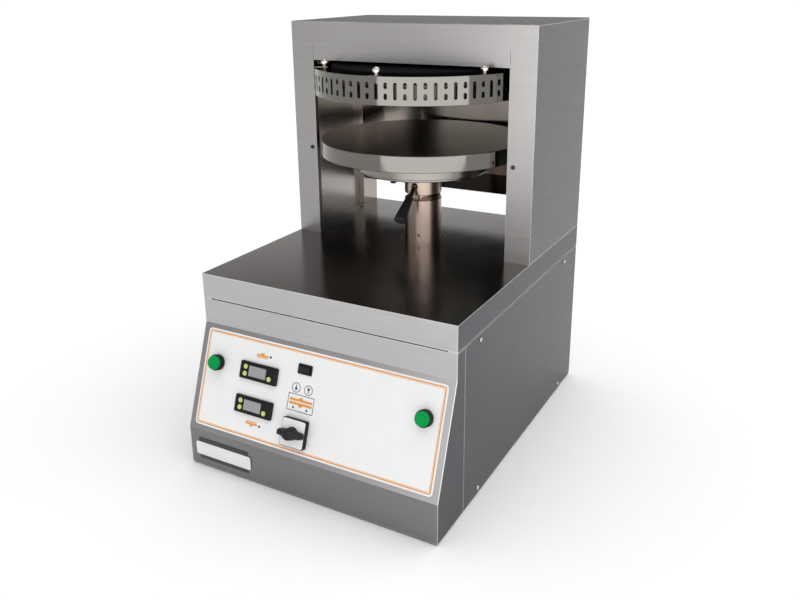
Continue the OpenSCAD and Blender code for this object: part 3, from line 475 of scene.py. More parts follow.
def smooth(mesh):
    """Smooth shading that keeps the sharper edges."""
    mesh.polygons.foreach_set("use_smooth", [True] * len(mesh.polygons))
    mesh.set_sharp_from_angle(angle=math.radians(32))


def shown(name, data):
    """A new object in the scene."""
    obj = bpy.data.objects.new(name, data)
    bpy.context.scene.collection.objects.link(obj)
    return obj


def piece(name, parts, place=None):
    """An object in metres from (shape, finish) parts drawn in millimetres in the frame that place gives.
    A finish is a name, or a function that names one for each face."""
    mesh = bpy.data.meshes.new(name)
    whole = bmesh.new()
    used = []
    for shape, finish in parts:
        for face in shape.faces:
            chosen = finish(face) if callable(finish) else finish
            if chosen not in used:
                used.append(chosen)
                mesh.materials.append(FINISH[chosen])
            face.material_index = used.index(chosen)
        step = bpy.data.meshes.new("step")
        shape.to_mesh(step)
        whole.from_mesh(step)
        bpy.data.meshes.remove(step)
        shape.free()
    whole.transform(Matrix.Scale(MM, 4) @ (place or Matrix.Identity(4)))
    whole.to_mesh(mesh)
    whole.free()
    smooth(mesh)
    return shown(name, mesh)


def seated(obj, body, slot, *nodes):
    """Let a piece move with a body and stand for CAD nodes. The slot is not used."""
    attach(obj, body)
    if nodes:
        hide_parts(*nodes)
    return obj


def fitted(name, parts, body, slot, *nodes, place=None):
    """A new piece, seated on its body."""
    return seated(piece(name, parts, place), body, slot, *nodes)


def baked(obj):
    """Turn an object's modifiers into its plain mesh."""
    graph = bpy.context.evaluated_depsgraph_get()
    done = bpy.data.meshes.new_from_object(obj.evaluated_get(graph), depsgraph=graph)
    obj.modifiers.clear()
    obj.data = done
    smooth(done)
    return obj


def carved(obj, *shapes):
    """Cut shapes out of an object. The faces that this makes take its first finish."""
    cutters = [piece("cutter", [(shape, "black")]) for shape in shapes]
    for cutter in cutters:
        mod = obj.modifiers.new("cut", "BOOLEAN")
        mod.object = cutter
        mod.solver = "EXACT"
    baked(obj)
    for cutter in cutters:
        bpy.data.objects.remove(cutter)
    return obj


def new_tree(name, inputs):
    """A Geometry Nodes tree with a geometry input and output and named inputs."""
    tree = bpy.data.node_groups.new(name, "GeometryNodeTree")
    tree.interface.new_socket("Geometry", in_out="INPUT", socket_type="NodeSocketGeometry")
    for label, kind in inputs.items():
        tree.interface.new_socket(label, in_out="INPUT", socket_type="NodeSocket" + kind)
    tree.interface.new_socket("Geometry", in_out="OUTPUT", socket_type="NodeSocketGeometry")
    return tree, add(tree, "NodeGroupInput").node.outputs


def ended(tree, geometry, material):
    """Close a tree: real geometry with its material."""
    real = add(tree, "GeometryNodeRealizeInstances", {"Geometry": geometry})
    dressed = add(tree, "GeometryNodeSetMaterial", {"Geometry": real, "Material": material})
    add(tree, "NodeGroupOutput", {"Geometry": dressed})


def grown(obj, tree, inputs):
    """Run a tree on an object with its named inputs set, and keep the result as a plain mesh."""
    mod = obj.modifiers.new(tree.name, "NODES")
    mod.node_group = tree
    for item in tree.interface.items_tree:
        if item.in_out == "INPUT" and item.name in inputs:
            mod[item.identifier] = inputs[item.name]
    return baked(obj)


def around_tree():
    """Copies of a piece on a circle: how many, the step between them, where they start, and the circle."""
    if "around" in bpy.data.node_groups:
        return bpy.data.node_groups["around"]
    inputs = {
        "Count": "Int", "Step": "Float", "First": "Float", "Radius": "Float", "Place": "Vector",
        "Material": "Material",
    }
    tree, given = new_tree("around", inputs)
    index = add(tree, "GeometryNodeInputIndex")
    turned = add(tree, "ShaderNodeMath", {0: index, 1: given["Step"]}, operation="MULTIPLY")
    angle = add(tree, "ShaderNodeMath", {0: turned, 1: given["First"]})
    cosine = add(tree, "ShaderNodeMath", {0: angle}, operation="COSINE")
    sine = add(tree, "ShaderNodeMath", {0: angle}, operation="SINE")
    unit = add(tree, "ShaderNodeCombineXYZ", {"X": cosine, "Y": sine})
    out = add(tree, "ShaderNodeVectorMath", {0: unit, "Scale": given["Radius"]}, operation="SCALE")
    where = add(tree, "ShaderNodeVectorMath", {0: out, 1: given["Place"]})
    points = add(tree, "GeometryNodePoints", {"Count": given["Count"], "Position": where})
    turn = add(tree, "ShaderNodeCombineXYZ", {"Z": angle})
    links = {"Points": points, "Instance": given["Geometry"], "Rotation": turn}
    copies = add(tree, "GeometryNodeInstanceOnPoints", links)
    ended(tree, copies, given["Material"])
    return tree


def ringed(obj, finish, radius, count=6, step=60, first=0, place=AXIS):
    """Copies of a piece on a circle about an upright axis, in millimetres and degrees."""
    return grown(obj, around_tree(), {
        "Count": count, "Step": math.radians(step), "First": math.radians(first), "Radius": radius * MM,
        "Place": place * MM, "Material": FINISH[finish],
    })


def grid_tree():
    """Copies of a piece at the corners of an upright rectangle, turned to face outwards."""
    if "corners" in bpy.data.node_groups:
        return bpy.data.node_groups["corners"]
    inputs = {
        "Length": "Float", "Height": "Float", "Rows": "Int", "Turn": "Vector", "Place": "Vector",
        "Material": "Material",
    }
    tree, given = new_tree("corners", inputs)
    links = {
        "Size X": given["Length"], "Size Y": given["Height"], "Vertices X": 2, "Vertices Y": given["Rows"],
    }
    corners = add(tree, "GeometryNodeMeshGrid", links)
    copies = add(tree, "GeometryNodeInstanceOnPoints", {"Points": corners, "Instance": given["Geometry"]})
    links = {"Geometry": copies, "Translation": given["Place"], "Rotation": given["Turn"]}
    turned = add(tree, "GeometryNodeTransform", links)
    ended(tree, turned, given["Material"])
    return tree


def perforated_tree():
    """Cuts two kinds of slot, in turn, through the wall of a ring that stands on its axis."""
    inputs = {
        "Columns": "Int", "Radius": "Float", "Slot width": "Float", "Tall slot": "Float",
        "Small slot": "Float", "Middle": "Vector", "Material": "Material",
    }
    tree, given = new_tree("perforated_ring", inputs)
    pairs = add(tree, "ShaderNodeMath", {0: given["Columns"], 1: 2.0}, operation="DIVIDE")
    step = add(tree, "ShaderNodeMath", {0: 2 * math.pi, 1: pairs}, operation="DIVIDE")
    index = add(tree, "GeometryNodeInputIndex")
    # A slot reaches from inside the wall to outside it
    inner = add(tree, "ShaderNodeMath", {0: given["Radius"], 1: 0.95}, operation="MULTIPLY")
    outer = add(tree, "ShaderNodeMath", {0: given["Radius"], 1: 1.05}, operation="MULTIPLY")
    start = add(tree, "ShaderNodeCombineXYZ", {"X": inner})
    stop = add(tree, "ShaderNodeCombineXYZ", {"X": outer})
    path = add(tree, "GeometryNodeCurvePrimitiveLine", {"Start": start, "End": stop})
    # Just under half the width, so that the two fillets of a slot's end don't meet
    half = add(tree, "ShaderNodeMath", {0: given["Slot width"], 1: 0.499}, operation="MULTIPLY")
    drop = add(tree, "ShaderNodeMath", {0: given["Tall slot"], 1: given["Small slot"]}, operation="SUBTRACT")
    shift = add(tree, "ShaderNodeMath", {0: drop, 1: 0.5}, operation="MULTIPLY")
    cutters = []
    for label, side, offset in (("Tall slot", 0, 0.0), ("Small slot", 1, 0.5), ("Small slot", -1, 0.5)):
        links = {"Width": given["Slot width"], "Height": given[label]}
        box = add(tree, "GeometryNodeCurvePrimitiveQuadrilateral", links)
        links = {"Curve": box, "Radius": half, "Count": 5}
        profile = add(tree, "GeometryNodeFilletCurve", links, mode="POLY")
        links = {"Curve": path, "Profile Curve": profile, "Fill Caps": True}
        cutter = add(tree, "GeometryNodeCurveToMesh", links)
        placed = add(tree, "ShaderNodeMath", {0: index, 1: offset})
        angle = add(tree, "ShaderNodeMath", {0: placed, 1: step}, operation="MULTIPLY")
        turn = add(tree, "ShaderNodeCombineXYZ", {"Z": angle})
        raised = add(tree, "ShaderNodeMath", {0: shift, 1: float(side)}, operation="MULTIPLY")
        lift = add(tree, "ShaderNodeCombineXYZ", {"Z": raised})
        where = add(tree, "ShaderNodeVectorMath", {0: given["Middle"], 1: lift})
        points = add(tree, "GeometryNodePoints", {"Count": pairs, "Position": where})
        links = {"Points": points, "Instance": cutter, "Rotation": turn}
        cutters.append(add(tree, "GeometryNodeInstanceOnPoints", links))
    joined = add(tree, "GeometryNodeJoinGeometry")
    for cutter in cutters:
        tree.links.new(cutter, joined.node.inputs[0])
    real = add(tree, "GeometryNodeRealizeInstances", {"Geometry": joined})
    links = {"Mesh 1": given["Geometry"], "Mesh 2": real}
    cut = add(tree, "GeometryNodeMeshBoolean", links, operation="DIFFERENCE", solver="EXACT")
    ended(tree, cut, given["Material"])
    return tree


def dress(finish, *nodes, edge=None):
    """Give CAD nodes a finish and softened edges."""
    for name in nodes:
        obj = frame["nodes"][name]
        if not obj.material_slots:
            obj.data.materials.append(None)
        for slot in obj.material_slots:
            slot.link = "OBJECT"
            slot.material = FINISH[finish]
        # Triangles of the CAD mesh become flat faces again, so that only real edges are rounded
        weld = obj.modifiers.new("weld", "WELD")
        weld.merge_threshold = 0.001 * MM
        flat = obj.modifiers.new("flat", "DECIMATE")
        flat.decimate_type = "DISSOLVE"
        flat.angle_limit = math.radians(0.5)
        bevel = obj.modifiers.new("edges", "BEVEL")
        bevel.width = sizes().edge if edge is None else edge * MM
        bevel.segments = 2
        bevel.limit_method = "ANGLE"
        bevel.angle_limit = math.radians(40)


def hexagon(flats, low, high, edge):
    """A hexagon nut's body across its flats."""
    return prism(disc(flats / math.sqrt(3), steps=6), low, high, edge)


def socket_head(r, h, flats):
    """A screw head with a rounded rim and a hexagon socket."""
    rim = r * 0.86
    shape = lathe([(0, 0), (r, 0), (r, h * 0.45), (r * 0.97, h * 0.72), (rim, h), (0, h)], 32)
    return carved(piece("head", [(shape, "screw")]), hexagon(flats, h * 0.4, h + 1, 0))


class PRESS_OT_stage(bpy.types.Operator):
    """Floor, world, softbox and camera"""

    bl_idname = "dough_press.stage"
    bl_label = "Stage"

    def execute(self, context):
        self.floor()
        self.world(context.scene)
        self.softbox()
        self.camera(context.scene)
        context.scene.view_settings.view_transform = "Standard"
        return {"FINISHED"}

    def floor(self):
        """A wide pale floor."""
        half = 90.0
        mesh = bpy.data.meshes.new("floor")
        corners = [(x * half, y * half, 0) for x, y in ((-1, -1), (1, -1), (1, 1), (-1, 1))]
        mesh.from_pydata(corners, [], [(0, 1, 2, 3)])
        mesh.materials.append(moulded("pale_floor", srgb("#F6F6F6"), 0.9, 30.0, 0.0, 0.004))
        obj = shown("floor", mesh)

    def world(self, scene):
        """A studio that is pale at the horizon, bright overhead, dim in front and dark behind."""
        world = bpy.data.worlds.new("studio")
        scene.world = world
        world.use_nodes = True
        tree = world.node_tree
        tree.nodes.clear()
        place = add(tree, "ShaderNodeTexCoord", out="Generated")
        parts = add(tree, "ShaderNodeSeparateXYZ", {0: place}).node.outputs
        links = {0: place, 1: Vector((0.1, 0.2, 1)).normalized()}
        overhead = add(tree, "ShaderNodeVectorMath", links, operation="DOT_PRODUCT", out="Value")
        # Each zone covers those before it, where its value goes from the first number to the second
        sky = (0.15, 0.145, 0.14, 1)
        for value, outside, inside, colour in (
            (parts["X"], -0.75, -0.35, (0.08, 0.075, 0.07, 1)),
            (parts["X"], 0.15, 0.45, (0.95, 0.95, 0.96, 1)),
            (parts["Y"], 0.4, -0.15, (0.45, 0.45, 0.46, 1)),
            (parts["Z"], 0.4, 0.22, (1.0, 1.0, 1.0, 1)),
            (overhead, 0.64, 0.84, (1.95, 1.95, 1.93, 1)),
        ):
            links = {"Value": value, "From Min": outside, "From Max": inside}
            where = add(tree, "ShaderNodeMapRange", links, interpolation_type="SMOOTHSTEP")
            links = {"Factor": where, 6: sky, 7: colour}
            sky = add(tree, "ShaderNodeMix", links, data_type="RGBA", out=2)
        glow = add(tree, "ShaderNodeBackground", {"Color": sky, "Strength": 1.0})
        add(tree, "ShaderNodeOutputWorld", {"Surface": glow})

    def softbox(self):
        """A wide softbox behind the camera; polished round pieces show its upright edges."""
        lamp = bpy.data.lights.new("softbox", "AREA")
        lamp.shape = "RECTANGLE"
        lamp.size, lamp.size_y = 4.0, 1.16
        # Watts for a face that is well brighter than the floor
        lamp.energy = 29.0
        obj = shown("softbox", lamp)
        aim, away, bearing = Vector((0, 0.12, 0.6)), 2.0, math.radians(-62.7)
        obj.location = aim + away * Vector((math.cos(bearing), math.sin(bearing), 0))
        obj.rotation_euler = (aim - obj.location).to_track_quat("-Z", "Y").to_euler()
        # A card for reflections only, so that the floor and the white pieces stay evenly lit
        obj.visible_camera = False
        obj.visible_diffuse = False

    def camera(self, scene):
        """The photograph's view, from the right and a little above."""
        yaw, pitch, roll = (math.radians(a) for a in (29.065, 17.754, -0.609))
        focal_px, width_px = 809.2, 800.0
        data = bpy.data.cameras.new("view")
        data.sensor_width = 36.0
        data.lens = focal_px / width_px * data.sensor_width
        data.shift_y = -0.075
        data.clip_end = 500.0
        obj = shown("view", data)
        obj.matrix_world = (
            Matrix.Translation((0.7849, -1.399, 0.92)) @ Matrix.Rotation(yaw, 4, "Z")
            @ Matrix.Rotation(math.pi / 2 - pitch, 4, "X") @ Matrix.Rotation(roll, 4, "Z")
        )
        scene.camera = obj


class PRESS_OT_sheets(bpy.types.Operator):
    """Folded sheets of the cabinet and the head"""

    bl_idname = "dough_press.sheets"
    bl_label = "Sheets"

    def execute(self, context):
        dress("front", "front_panel")
        dress("sides", "side_panel_right")
        dress("lit_side", "side_panel_left")
        dress("rear", "rear_panel", "rear_cover", "base_plate")
        dress("worktop", "worktop")
        dress("head", "head_front", edge=0.4)
        dress("wall_left", "head_side_left")
        dress("wall_right", "head_side_right")
        dress("roof", "head_top")
        dress("mirror", "rear_liner", "rear_posts", edge=0.4)
        dress("film", "overlay", edge=0.15)
        return {"FINISHED"}


class PRESS_OT_drive(bpy.types.Operator):
    """Frame and drive inside the cabinet and the head"""

    bl_idname = "dough_press.drive"
    bl_label = "Drive"

    def execute(self, context):
        dress("paint", "frame_posts", "bridge_plate", "upper_bridge", "gearmotor", edge=1.0)
        dress("cast", "guide_housing", edge=1.0)
        dress("bronze", "screw_nut", edge=0.5)
        dress("worktop", "guide_bush", edge=0.2)
        dress("shaft", "lead_screw", "screw_bearing", edge=0.5)
        dress("heater", "upper_heater", "lower_heater", edge=0.4)
        dress("white", "control_box", edge=1.5)
        dress("black", "contactor", edge=1.5)
        return {"FINISHED"}


class PRESS_OT_fasteners(bpy.types.Operator):
    """Casing screws, feet, the cord's gland and the worktop's drain plug"""

    bl_idname = "dough_press.fasteners"
    bl_label = "Screws, feet, gland and plug"

    def execute(self, context):
        self.screws()
        self.feet()
        self.gland()
        self.plug()
        return {"FINISHED"}

    def heads(self, name, length, height, rows, side, place, finish):
        """Domed screw heads at the corners of an upright rectangle that faces the front or a side."""
        obj = socket_head(4.5, 2.2, 2.6)
        obj.name = name
        quarter = math.pi / 2
        return grown(obj, grid_tree(), {
            "Length": length * MM, "Height": height * MM, "Rows": rows, "Turn": (quarter, 0, side * quarter),
            "Place": Vector(place) * MM, "Material": FINISH[finish],
        })

    def screws(self):
        """Four screws on each side panel and one on each pillar."""
        low, high = span("side_panel_right")
        top_low, top_high = span("worktop")
        from_front, from_rear, from_edge = 95.0, 88.0, 12.0
        near, far = top_low.y + from_front, top_high.y - from_rear
        bottom, top = low.z + from_edge, high.z - from_edge
        for side, name, nodes in ((1, "right", ["casing_screws"]), (-1, "left", [])):
            place = (side * high.x, (near + far) / 2, (bottom + top) / 2)
            obj = self.heads("casing_screws_" + name, far - near, top - bottom, 2, side, place, "screw")
            seated(obj, "casing", "bright_steel", *nodes)
        inset, rise = 41.0, 194.0
        place = (0, span("head_front")[0].y, top_high.z + rise)
        obj = self.heads("pillar_screws", 2 * (high.x - inset), 0.0, 1, 0, place, "bolt")
        seated(obj, "casing", "bright_steel")

    def feet(self):
        """Four turned rubber feet with a hollow for their screw."""
        low, high = span("feet")
        r, h = 16.0, high.z - low.z
        profile = [
            (0, 2.5), (4.5, 2.5), (4.5, 0.3), (5, 0), (13, 0), (13.8, 0.6), (r, h - 1), (r - 0.4, h), (0, h),
        ]
        parts = []
        for x in (low.x + r, high.x - r):
            for y in (low.y + r, high.y - r):
                parts.append((moved(lathe(profile, 48), at(x, y, low.z)), "rubber"))
        fitted("rubber_feet", parts, "casing", "black_rubber", "feet")

    def gland(self):
        """A ribbed gland with its lock nut, on the rear panel."""
        low, high = span("cord_gland")
        rear = span("rear_panel")[1].y
        out, inside, bore = high.y - rear, low.y - rear, 5.0
        place = at(middle("cord_gland").x, rear, middle("cord_gland").z, -90)
        profile = [
            (bore, inside), (9, inside), (9, 0), (14, 0), (14, 4.8), (13, 6), (9.6, 6), (9.4, 7),
            (9.2, out - 3), (8, out - 0.6), (7.2, out), (bore, out),
        ]
        parts = [(lathe(profile, 64), "black")]
        fitted("gland_body", parts, "casing", "black_plastic", "cord_gland", place=place)
        rib = piece("gland_ribs", [(prism(rounded(1.4, 2.2, 0.5), 7.2, out - 4, 0.4), "black")])
        ringed(rib, "black", 9.0, count=18, step=20, place=Vector())
        rib.data.transform(Matrix.Translation(place.translation * MM) @ place.to_3x3().to_4x4())
        seated(rib, "casing", "black_plastic")

    def plug(self):
        """A rubber plug with a thin flange in the worktop's drain hole."""
        low, high = span("worktop")
        from_side, from_rear = 22.0, 90.0
        profile = [
            (0, -1.2), (2.9, -1.2), (2.9, 0), (4.2, 0), (4.2, 0.25), (3.8, 0.5), (2.4, 0.5), (2, 0.3),
            (0, 0.3),
        ]
        place = at(low.x + from_side, high.y - from_rear, high.z)
        fitted("drain_plug", [(lathe(profile, 40), "rubber")], "casing", "black_rubber", place=place)


class PRESS_OT_guard_ring(bpy.types.Operator):
    """Perforated guard ring with its tabs"""

    bl_idname = "dough_press.guard_ring"
    bl_label = "Guard ring"

    def execute(self, context):
        radius, low, high = round_span("guard_ring")
        wall, edge = 2.0, 0.35
        inner = radius - wall
        profile = [
            (inner, low + edge), (inner + edge, low), (radius - edge, low), (radius, low + edge),
            (radius, high - edge), (radius - edge, high), (inner + edge, high), (inner, high - edge),
        ]
        user = sizes()
        obj = piece("guard_ring_strip", [(lathe(profile, user.ring_columns * 4), "bright")])
        grown(obj, perforated_tree(), {
            "Columns": user.ring_columns, "Radius": radius * MM, "Slot width": user.slot_w,
            "Tall slot": user.slot_h, "Small slot": user.small_h, "Middle": (0, 0, (low + high) / 2 * MM),
            "Material": FINISH["bright"],
        })
        obj.data.transform(Matrix.Translation(AXIS * MM))
        seated(obj, "guard_ring", "bright_steel", "guard_ring")
        nut_r, tab_w, hole_r = 7.5, 18.0, 4.5
        reach = radius - wall / 2 - STUD_CIRCLE + nut_r
        outline = rounded(reach, tab_w, 3, reach / 2 - nut_r)
        tab = piece("guard_ring_tabs", [(prism(outline, -wall, 0, 0.3), "bright")])
        carved(tab, prism(disc(hole_r), -wall - 1, 1))
        ringed(tab, "bright", STUD_CIRCLE, first=STUD_FIRST, place=on_axis(high))
        seated(tab, "guard_ring", "bright_steel")
        return {"FINISHED"}


class PRESS_OT_plates(bpy.types.Operator):
    """Upper and lower plates with what carries them"""

    bl_idname = "dough_press.plates"
    bl_label = "Plates"

    def execute(self, context):
        self.place = at(*AXIS)
        self.upper()
        self.hangers()
        self.studs()
        self.lower()
        self.carrier()
        return {"FINISHED"}

    def plate(self, node, face_up, rim_finish):
        """A plate with a rim of its own finish and a ground face that is framed by a fine turned step."""
        r, _, top = round_span(node)
        thick, soft = 32.0, 0.9
        bottom, step = top - thick, top - 0.15
        rim = [(r - soft, bottom), (r, bottom + soft), (r, top - soft), (r - soft, top), (r - 2.2, top)]

        def finish(face):
            """The ground face is the one that looks at the other plate."""
            upper = face.calc_center_median().z > top - thick / 2
            return "plate" if abs(face.normal.z) > 0.9 and upper == face_up else rim_finish

        return lathe([(0, bottom), *rim, (r - 2.4, step), (0, step)], 192), finish

    def upper(self):
        """The fixed plate, its ground face down, under a black enamelled cover."""
        parts = [self.plate("upper_plate", False, "dulled")]
        fitted("upper_plate_turned", parts, "casing", "plate_alloy", "upper_plate", place=self.place)
        r, low, high = round_span("upper_cover")
        profile = [
            (0, low), (r, low), (r, high - 4), (r - 1.2, high - 1.2), (r - 4, high), (r - 22, high),
            (r - 24, high - 1), (0, high - 1),
        ]
        parts = [(lathe(profile, 160), "enamel")]
        fitted("enamelled_cover", parts, "casing", "black_enamel", "upper_cover", place=self.place)

    def hangers(self):
        """Four rods from the cover to the bridge, each with a washer and a nut."""
        _, low, high = round_span("hanger_rods")
        rod_r, bore, washer_r, circle = 6.5, 6.6, 13, 170
        seat = span("upper_cover")[1].z - 1
        top = seat + 1.6
        rod = piece("hanger_rods_turned", [
            (lathe([(0, low), (rod_r, low), (rod_r, high), (0, high)], 48), "shaft"),
            (lathe([(bore, seat), (washer_r, seat), (washer_r, top), (bore, top)], 48), "shaft"),
            (hexagon(19, top, seat + 9, 0.8), "shaft"),
        ])
        ringed(rod, "shaft", circle, count=4)
        seated(rod, "casing", "turned_steel", "hanger_rods")

    def studs(self):
        """Six shouldered studs with domed cap nuts that hold the guard ring."""
        _, low, high = round_span("lifting_studs")
        _, foot, tip = round_span("cap_nuts")
        tab = span("guard_ring")[1].z - 2
        r, neck, hexagon_h, dome_r = 7.5, 4, 5, 6.45
        dome_h = tip - foot - hexagon_h
        profile = [(0, low), (r, low), (r, tab - 0.6), (7, tab), (neck, tab), (neck, high), (0, high)]
        stud = piece("lifting_studs_turned", [(lathe(profile, 40), "shaft")])
        profile = [(0, foot), (r, foot), (r, foot + 1.2), (6.8, foot + 1.6), (6.8, foot + 4)]
        for angle in range(10, 90, 10):
            a = math.radians(angle)
            profile.append((dome_r * math.cos(a), foot + hexagon_h + dome_h * math.sin(a)))
        cap = piece("cap_nuts_chromed", [
            (hexagon(13, foot + 1, foot + hexagon_h, 0.3), "chrome"),
            (lathe([*profile, (0, tip)], 40), "chrome"),
        ])
        for obj, finish, slot, node in (
            (stud, "shaft", "turned_steel", "lifting_studs"), (cap, "chrome", "bright_steel", "cap_nuts"),
        ):
            ringed(obj, finish, STUD_CIRCLE, first=STUD_FIRST)
            seated(obj, "casing", slot, node)

    def lower(self):
        """The lifting plate, its ground face up, with its locating pin."""
        low = span("lower_plate")[0].z
        angle, circle, r, tip = math.radians(284), 154, 6, low + 11
        pin = lathe([(0, low), (4.6, low), (r, low + 1.4), (r, tip), (0, tip)], 40)
        moved(pin, at(circle * math.cos(angle), circle * math.sin(angle), 0))
        parts = [self.plate("lower_plate", True, "bright"), (pin, "bright")]
        fitted("lower_plate_turned", parts, "ram", "plate_alloy", "lower_plate", place=self.place)

    def carrier(self):
        """The turned carrier with a stepped underside, and its bolts."""
        r, low, high = round_span("carrier")
        top, well, hub_r = high - 3, high - 11, 70
        profile = [
            (0, low), (r - 9, low), (r - 7.5, low + 1.5), (r - 7.5, low + 5), (r - 1, low + 6), (r, low + 7),
            (r, top - 1), (r - 1, top), (r - 8, top), (r - 8, well), (hub_r, well), (hub_r, high), (0, high),
        ]
        parts = [(lathe(profile, 160), "carrier")]
        fitted("carrier_turned", parts, "ram", "plate_alloy", "carrier", place=self.place)
        _, head_low, head_high = round_span("carrier_bolts")
        bolt = socket_head(6, head_high - head_low, 5)
        bolt.name = "carrier_bolts_socket"
        # The heads hang from the carrier, so they are turned over about their seat
        bolt.data.transform(at(0, 0, 0, 180))
        ringed(bolt, "bolt", r - 16, first=30, place=on_axis(head_high))
        seated(bolt, "ram", "bright_steel", "carrier_bolts")


class PRESS_OT_column(bpy.types.Operator):
    """Lifting column, adjusting collar and its lever"""

    bl_idname = "dough_press.column"
    bl_label = "Column and lever"

    def execute(self, context):
        self.place = at(*AXIS)
        self.top = span("worktop")[1].z
        self.shoulder = self.top + SHOULDER_RISE
        self.column()
        self.cam()
        self.lever()
        return {"FINISHED"}

    def column(self):
        """A ground column with a shoulder and a sight hole."""
        _, low, high = round_span("column")
        r, bore, bore_h, shoulder = COLUMN_R, 28.0, 170.0, self.shoulder
        end = low + bore_h
        profile = [
            (0, end), (bore, end), (bore, low), (r - 1, low), (r, low + 1), (r, shoulder - 1.5),
            (r - 1.5, shoulder), (NECK_R, shoulder), (NECK_R, high), (0, high),
        ]
        obj = piece("column_ground", [(lathe(profile, 128), "shaft")], self.place)
        bearing, rise, hole_r = math.radians(283), 14, 2.6
        turn = Matrix.Rotation(bearing, 4, "Z") @ Matrix.Rotation(math.pi / 2, 4, "Y")
        carved(obj, moved(prism(disc(hole_r), 20, r + 5), at(*on_axis(self.top + rise)) @ turn))
        seated(obj, "ram", "turned_steel", "column")

    def cam(self):
        """A cam that climbs round the neck, so that the groove looks slanted from the front."""
        start, sweep, steps = 290, 80, 24
        tall, climb = 10.7, 6.0
        inner, outer, low = NECK_R - 0.5, COLUMN_R - 0.5, self.shoulder - 0.5
        rows = []
        for i in range(steps + 1):
            a = math.radians(start + sweep * i / steps)
            top = self.shoulder + tall - climb * (1 - i / steps)
            corners = ((inner, low), (outer, low), (outer, top), (inner, top))
            rows.append([(r * math.cos(a), r * math.sin(a), z) for r, z in corners])
        fitted("column_cam", [(skinned(rows), "browned")], "ram", "turned_steel", place=self.place)

    def lever(self):
        """A collar that turns on the neck, with a steel rod and a tapered grip."""
        low, top = self.shoulder + 11, span("carrier")[0].z - 2
        bore, r, soft = NECK_R + 0.05, COLUMN_R, 1.2
        profile = [
            (bore, low), (r - soft, low), (r, low + soft), (r, top - soft), (r - soft, top), (bore, top),
        ]
        # The rod starts in the collar's wall and slopes down to the front
        slope, depth, rise = 40, 5, 22
        place = at(AXIS.x, AXIS.y - bore - depth, low + rise, 90 + slope)
        rod = lathe([(0, 0), (4.7, 0), (4.7, 53), (4.2, 54), (0, 54)], 40)
        boss = lathe([(0, 2), (7.4, 2), (7.4, 7.4), (6.6, 8.4), (0, 8.4)], 40)
        parts = [(moved(lathe(profile, 128), self.place), "shaft")]
        parts += [(moved(shape, place), "browned") for shape in (rod, boss)]
        fitted("adjusting_collar_turned", parts, "thickness_lever", "turned_steel", "adjusting_collar")
        body = lathe([
            (4.8, 34), (7, 34), (8, 35.2), (9.2, 52), (11.2, 76), (12.3, 91), (12.5, 94.2), (11.9, 95.6),
            (4.8, 95.6),
        ], 64)
        end = lathe([(0, 95), (11.7, 95), (11.5, 95.9), (10.8, 96), (0, 96)], 64)
        parts = [(body, "grip"), (end, "worn")]
        fitted("lever_grip_moulded", parts, "thickness_lever", "black_plastic", "lever_grip", place=place)


class PRESS_OT_prints(bpy.types.Operator):
    """Printed marks of the control panel"""

    bl_idname = "dough_press.prints"
    bl_label = "Printed marks"

    def execute(self, context):
        self.low, self.high = OVERLAY_T, OVERLAY_T + sizes().ink / MM
        low, high = span("overlay")
        width, height = high.x - low.x, 192
        orange, black = [], []
        for inset, line in ((3.4, 2.5), (6.9, 0.8)):
            orange.append(self.frame_line(width - 2 * inset, height - 2 * inset, 4.5, line))
        # Signs of the upper and the lower heated plate
        for x, y, side in ((-126.0, 64.3, 1), (-128.0, -64.7, -1)):
            for w, h, r, rise in ((28, 3.6, 0.8, 1.2), (26, 2, 0.6, -2.6), (8, 3, 0.6, 4.6)):
                orange.append(self.flat(rounded(w, h, r, x, y + rise * side)))
            black.append(self.flat(disc(2.4, x + 19, y + 2.2 * side)))
        # Arrows in circles over the sign of the two plates
        for x, way in ((-39.7, -1), (-12.4, 1)):
            y = 24.3
            black.append(loop_strip(disc(9.4, x, y), disc(8.1, x, y), self.low, self.high))
            black.append(self.flat(rounded(2, 8.5, 0.3, x, y - way)))
            black.append(self.flat([(x - 4, y + 0.4 * way), (x + 4, y + 0.4 * way), (x, y + 6 * way)]))
        x, y = -25.3, -3.2
        black.append(self.frame_line(58, 31.6, 1.8, 1.3, x, y))
        for side in (1, -1):
            orange.append(self.flat(rounded(51, 4.6, 0.4, x, y + 1.8 + 3.4 * side)))
            orange.append(self.flat(rounded(8, 3.4, 0.4, x, y + 1.8 + 7.2 * side)))
            tip = x + 15 * side
            black.append(self.flat([(tip - 2.8, y - 11.2), (tip + 2.8, y - 11.2), (tip, y - 5.6)]))
        for name, shapes, ink, slot in (
            ("panel_marks_orange", orange, "orange", "white_plastic"),
            ("panel_marks_black", black, "ink", "black_plastic"),
        ):
            fitted(name, [(shape, ink) for shape in shapes], "casing", slot, place=panel_frame())
        return {"FINISHED"}

    def flat(self, outline):
        """A filled mark."""
        return prism(outline, self.low, self.high)

    def frame_line(self, w, h, r, line, x=0.0, y=0.0):
        """A line of the given width round a rectangle."""
        inner = rounded(w - 2 * line, h - 2 * line, max(r - line, 0.3), x, y)
        return loop_strip(rounded(w, h, r, x, y), inner, self.low, self.high)


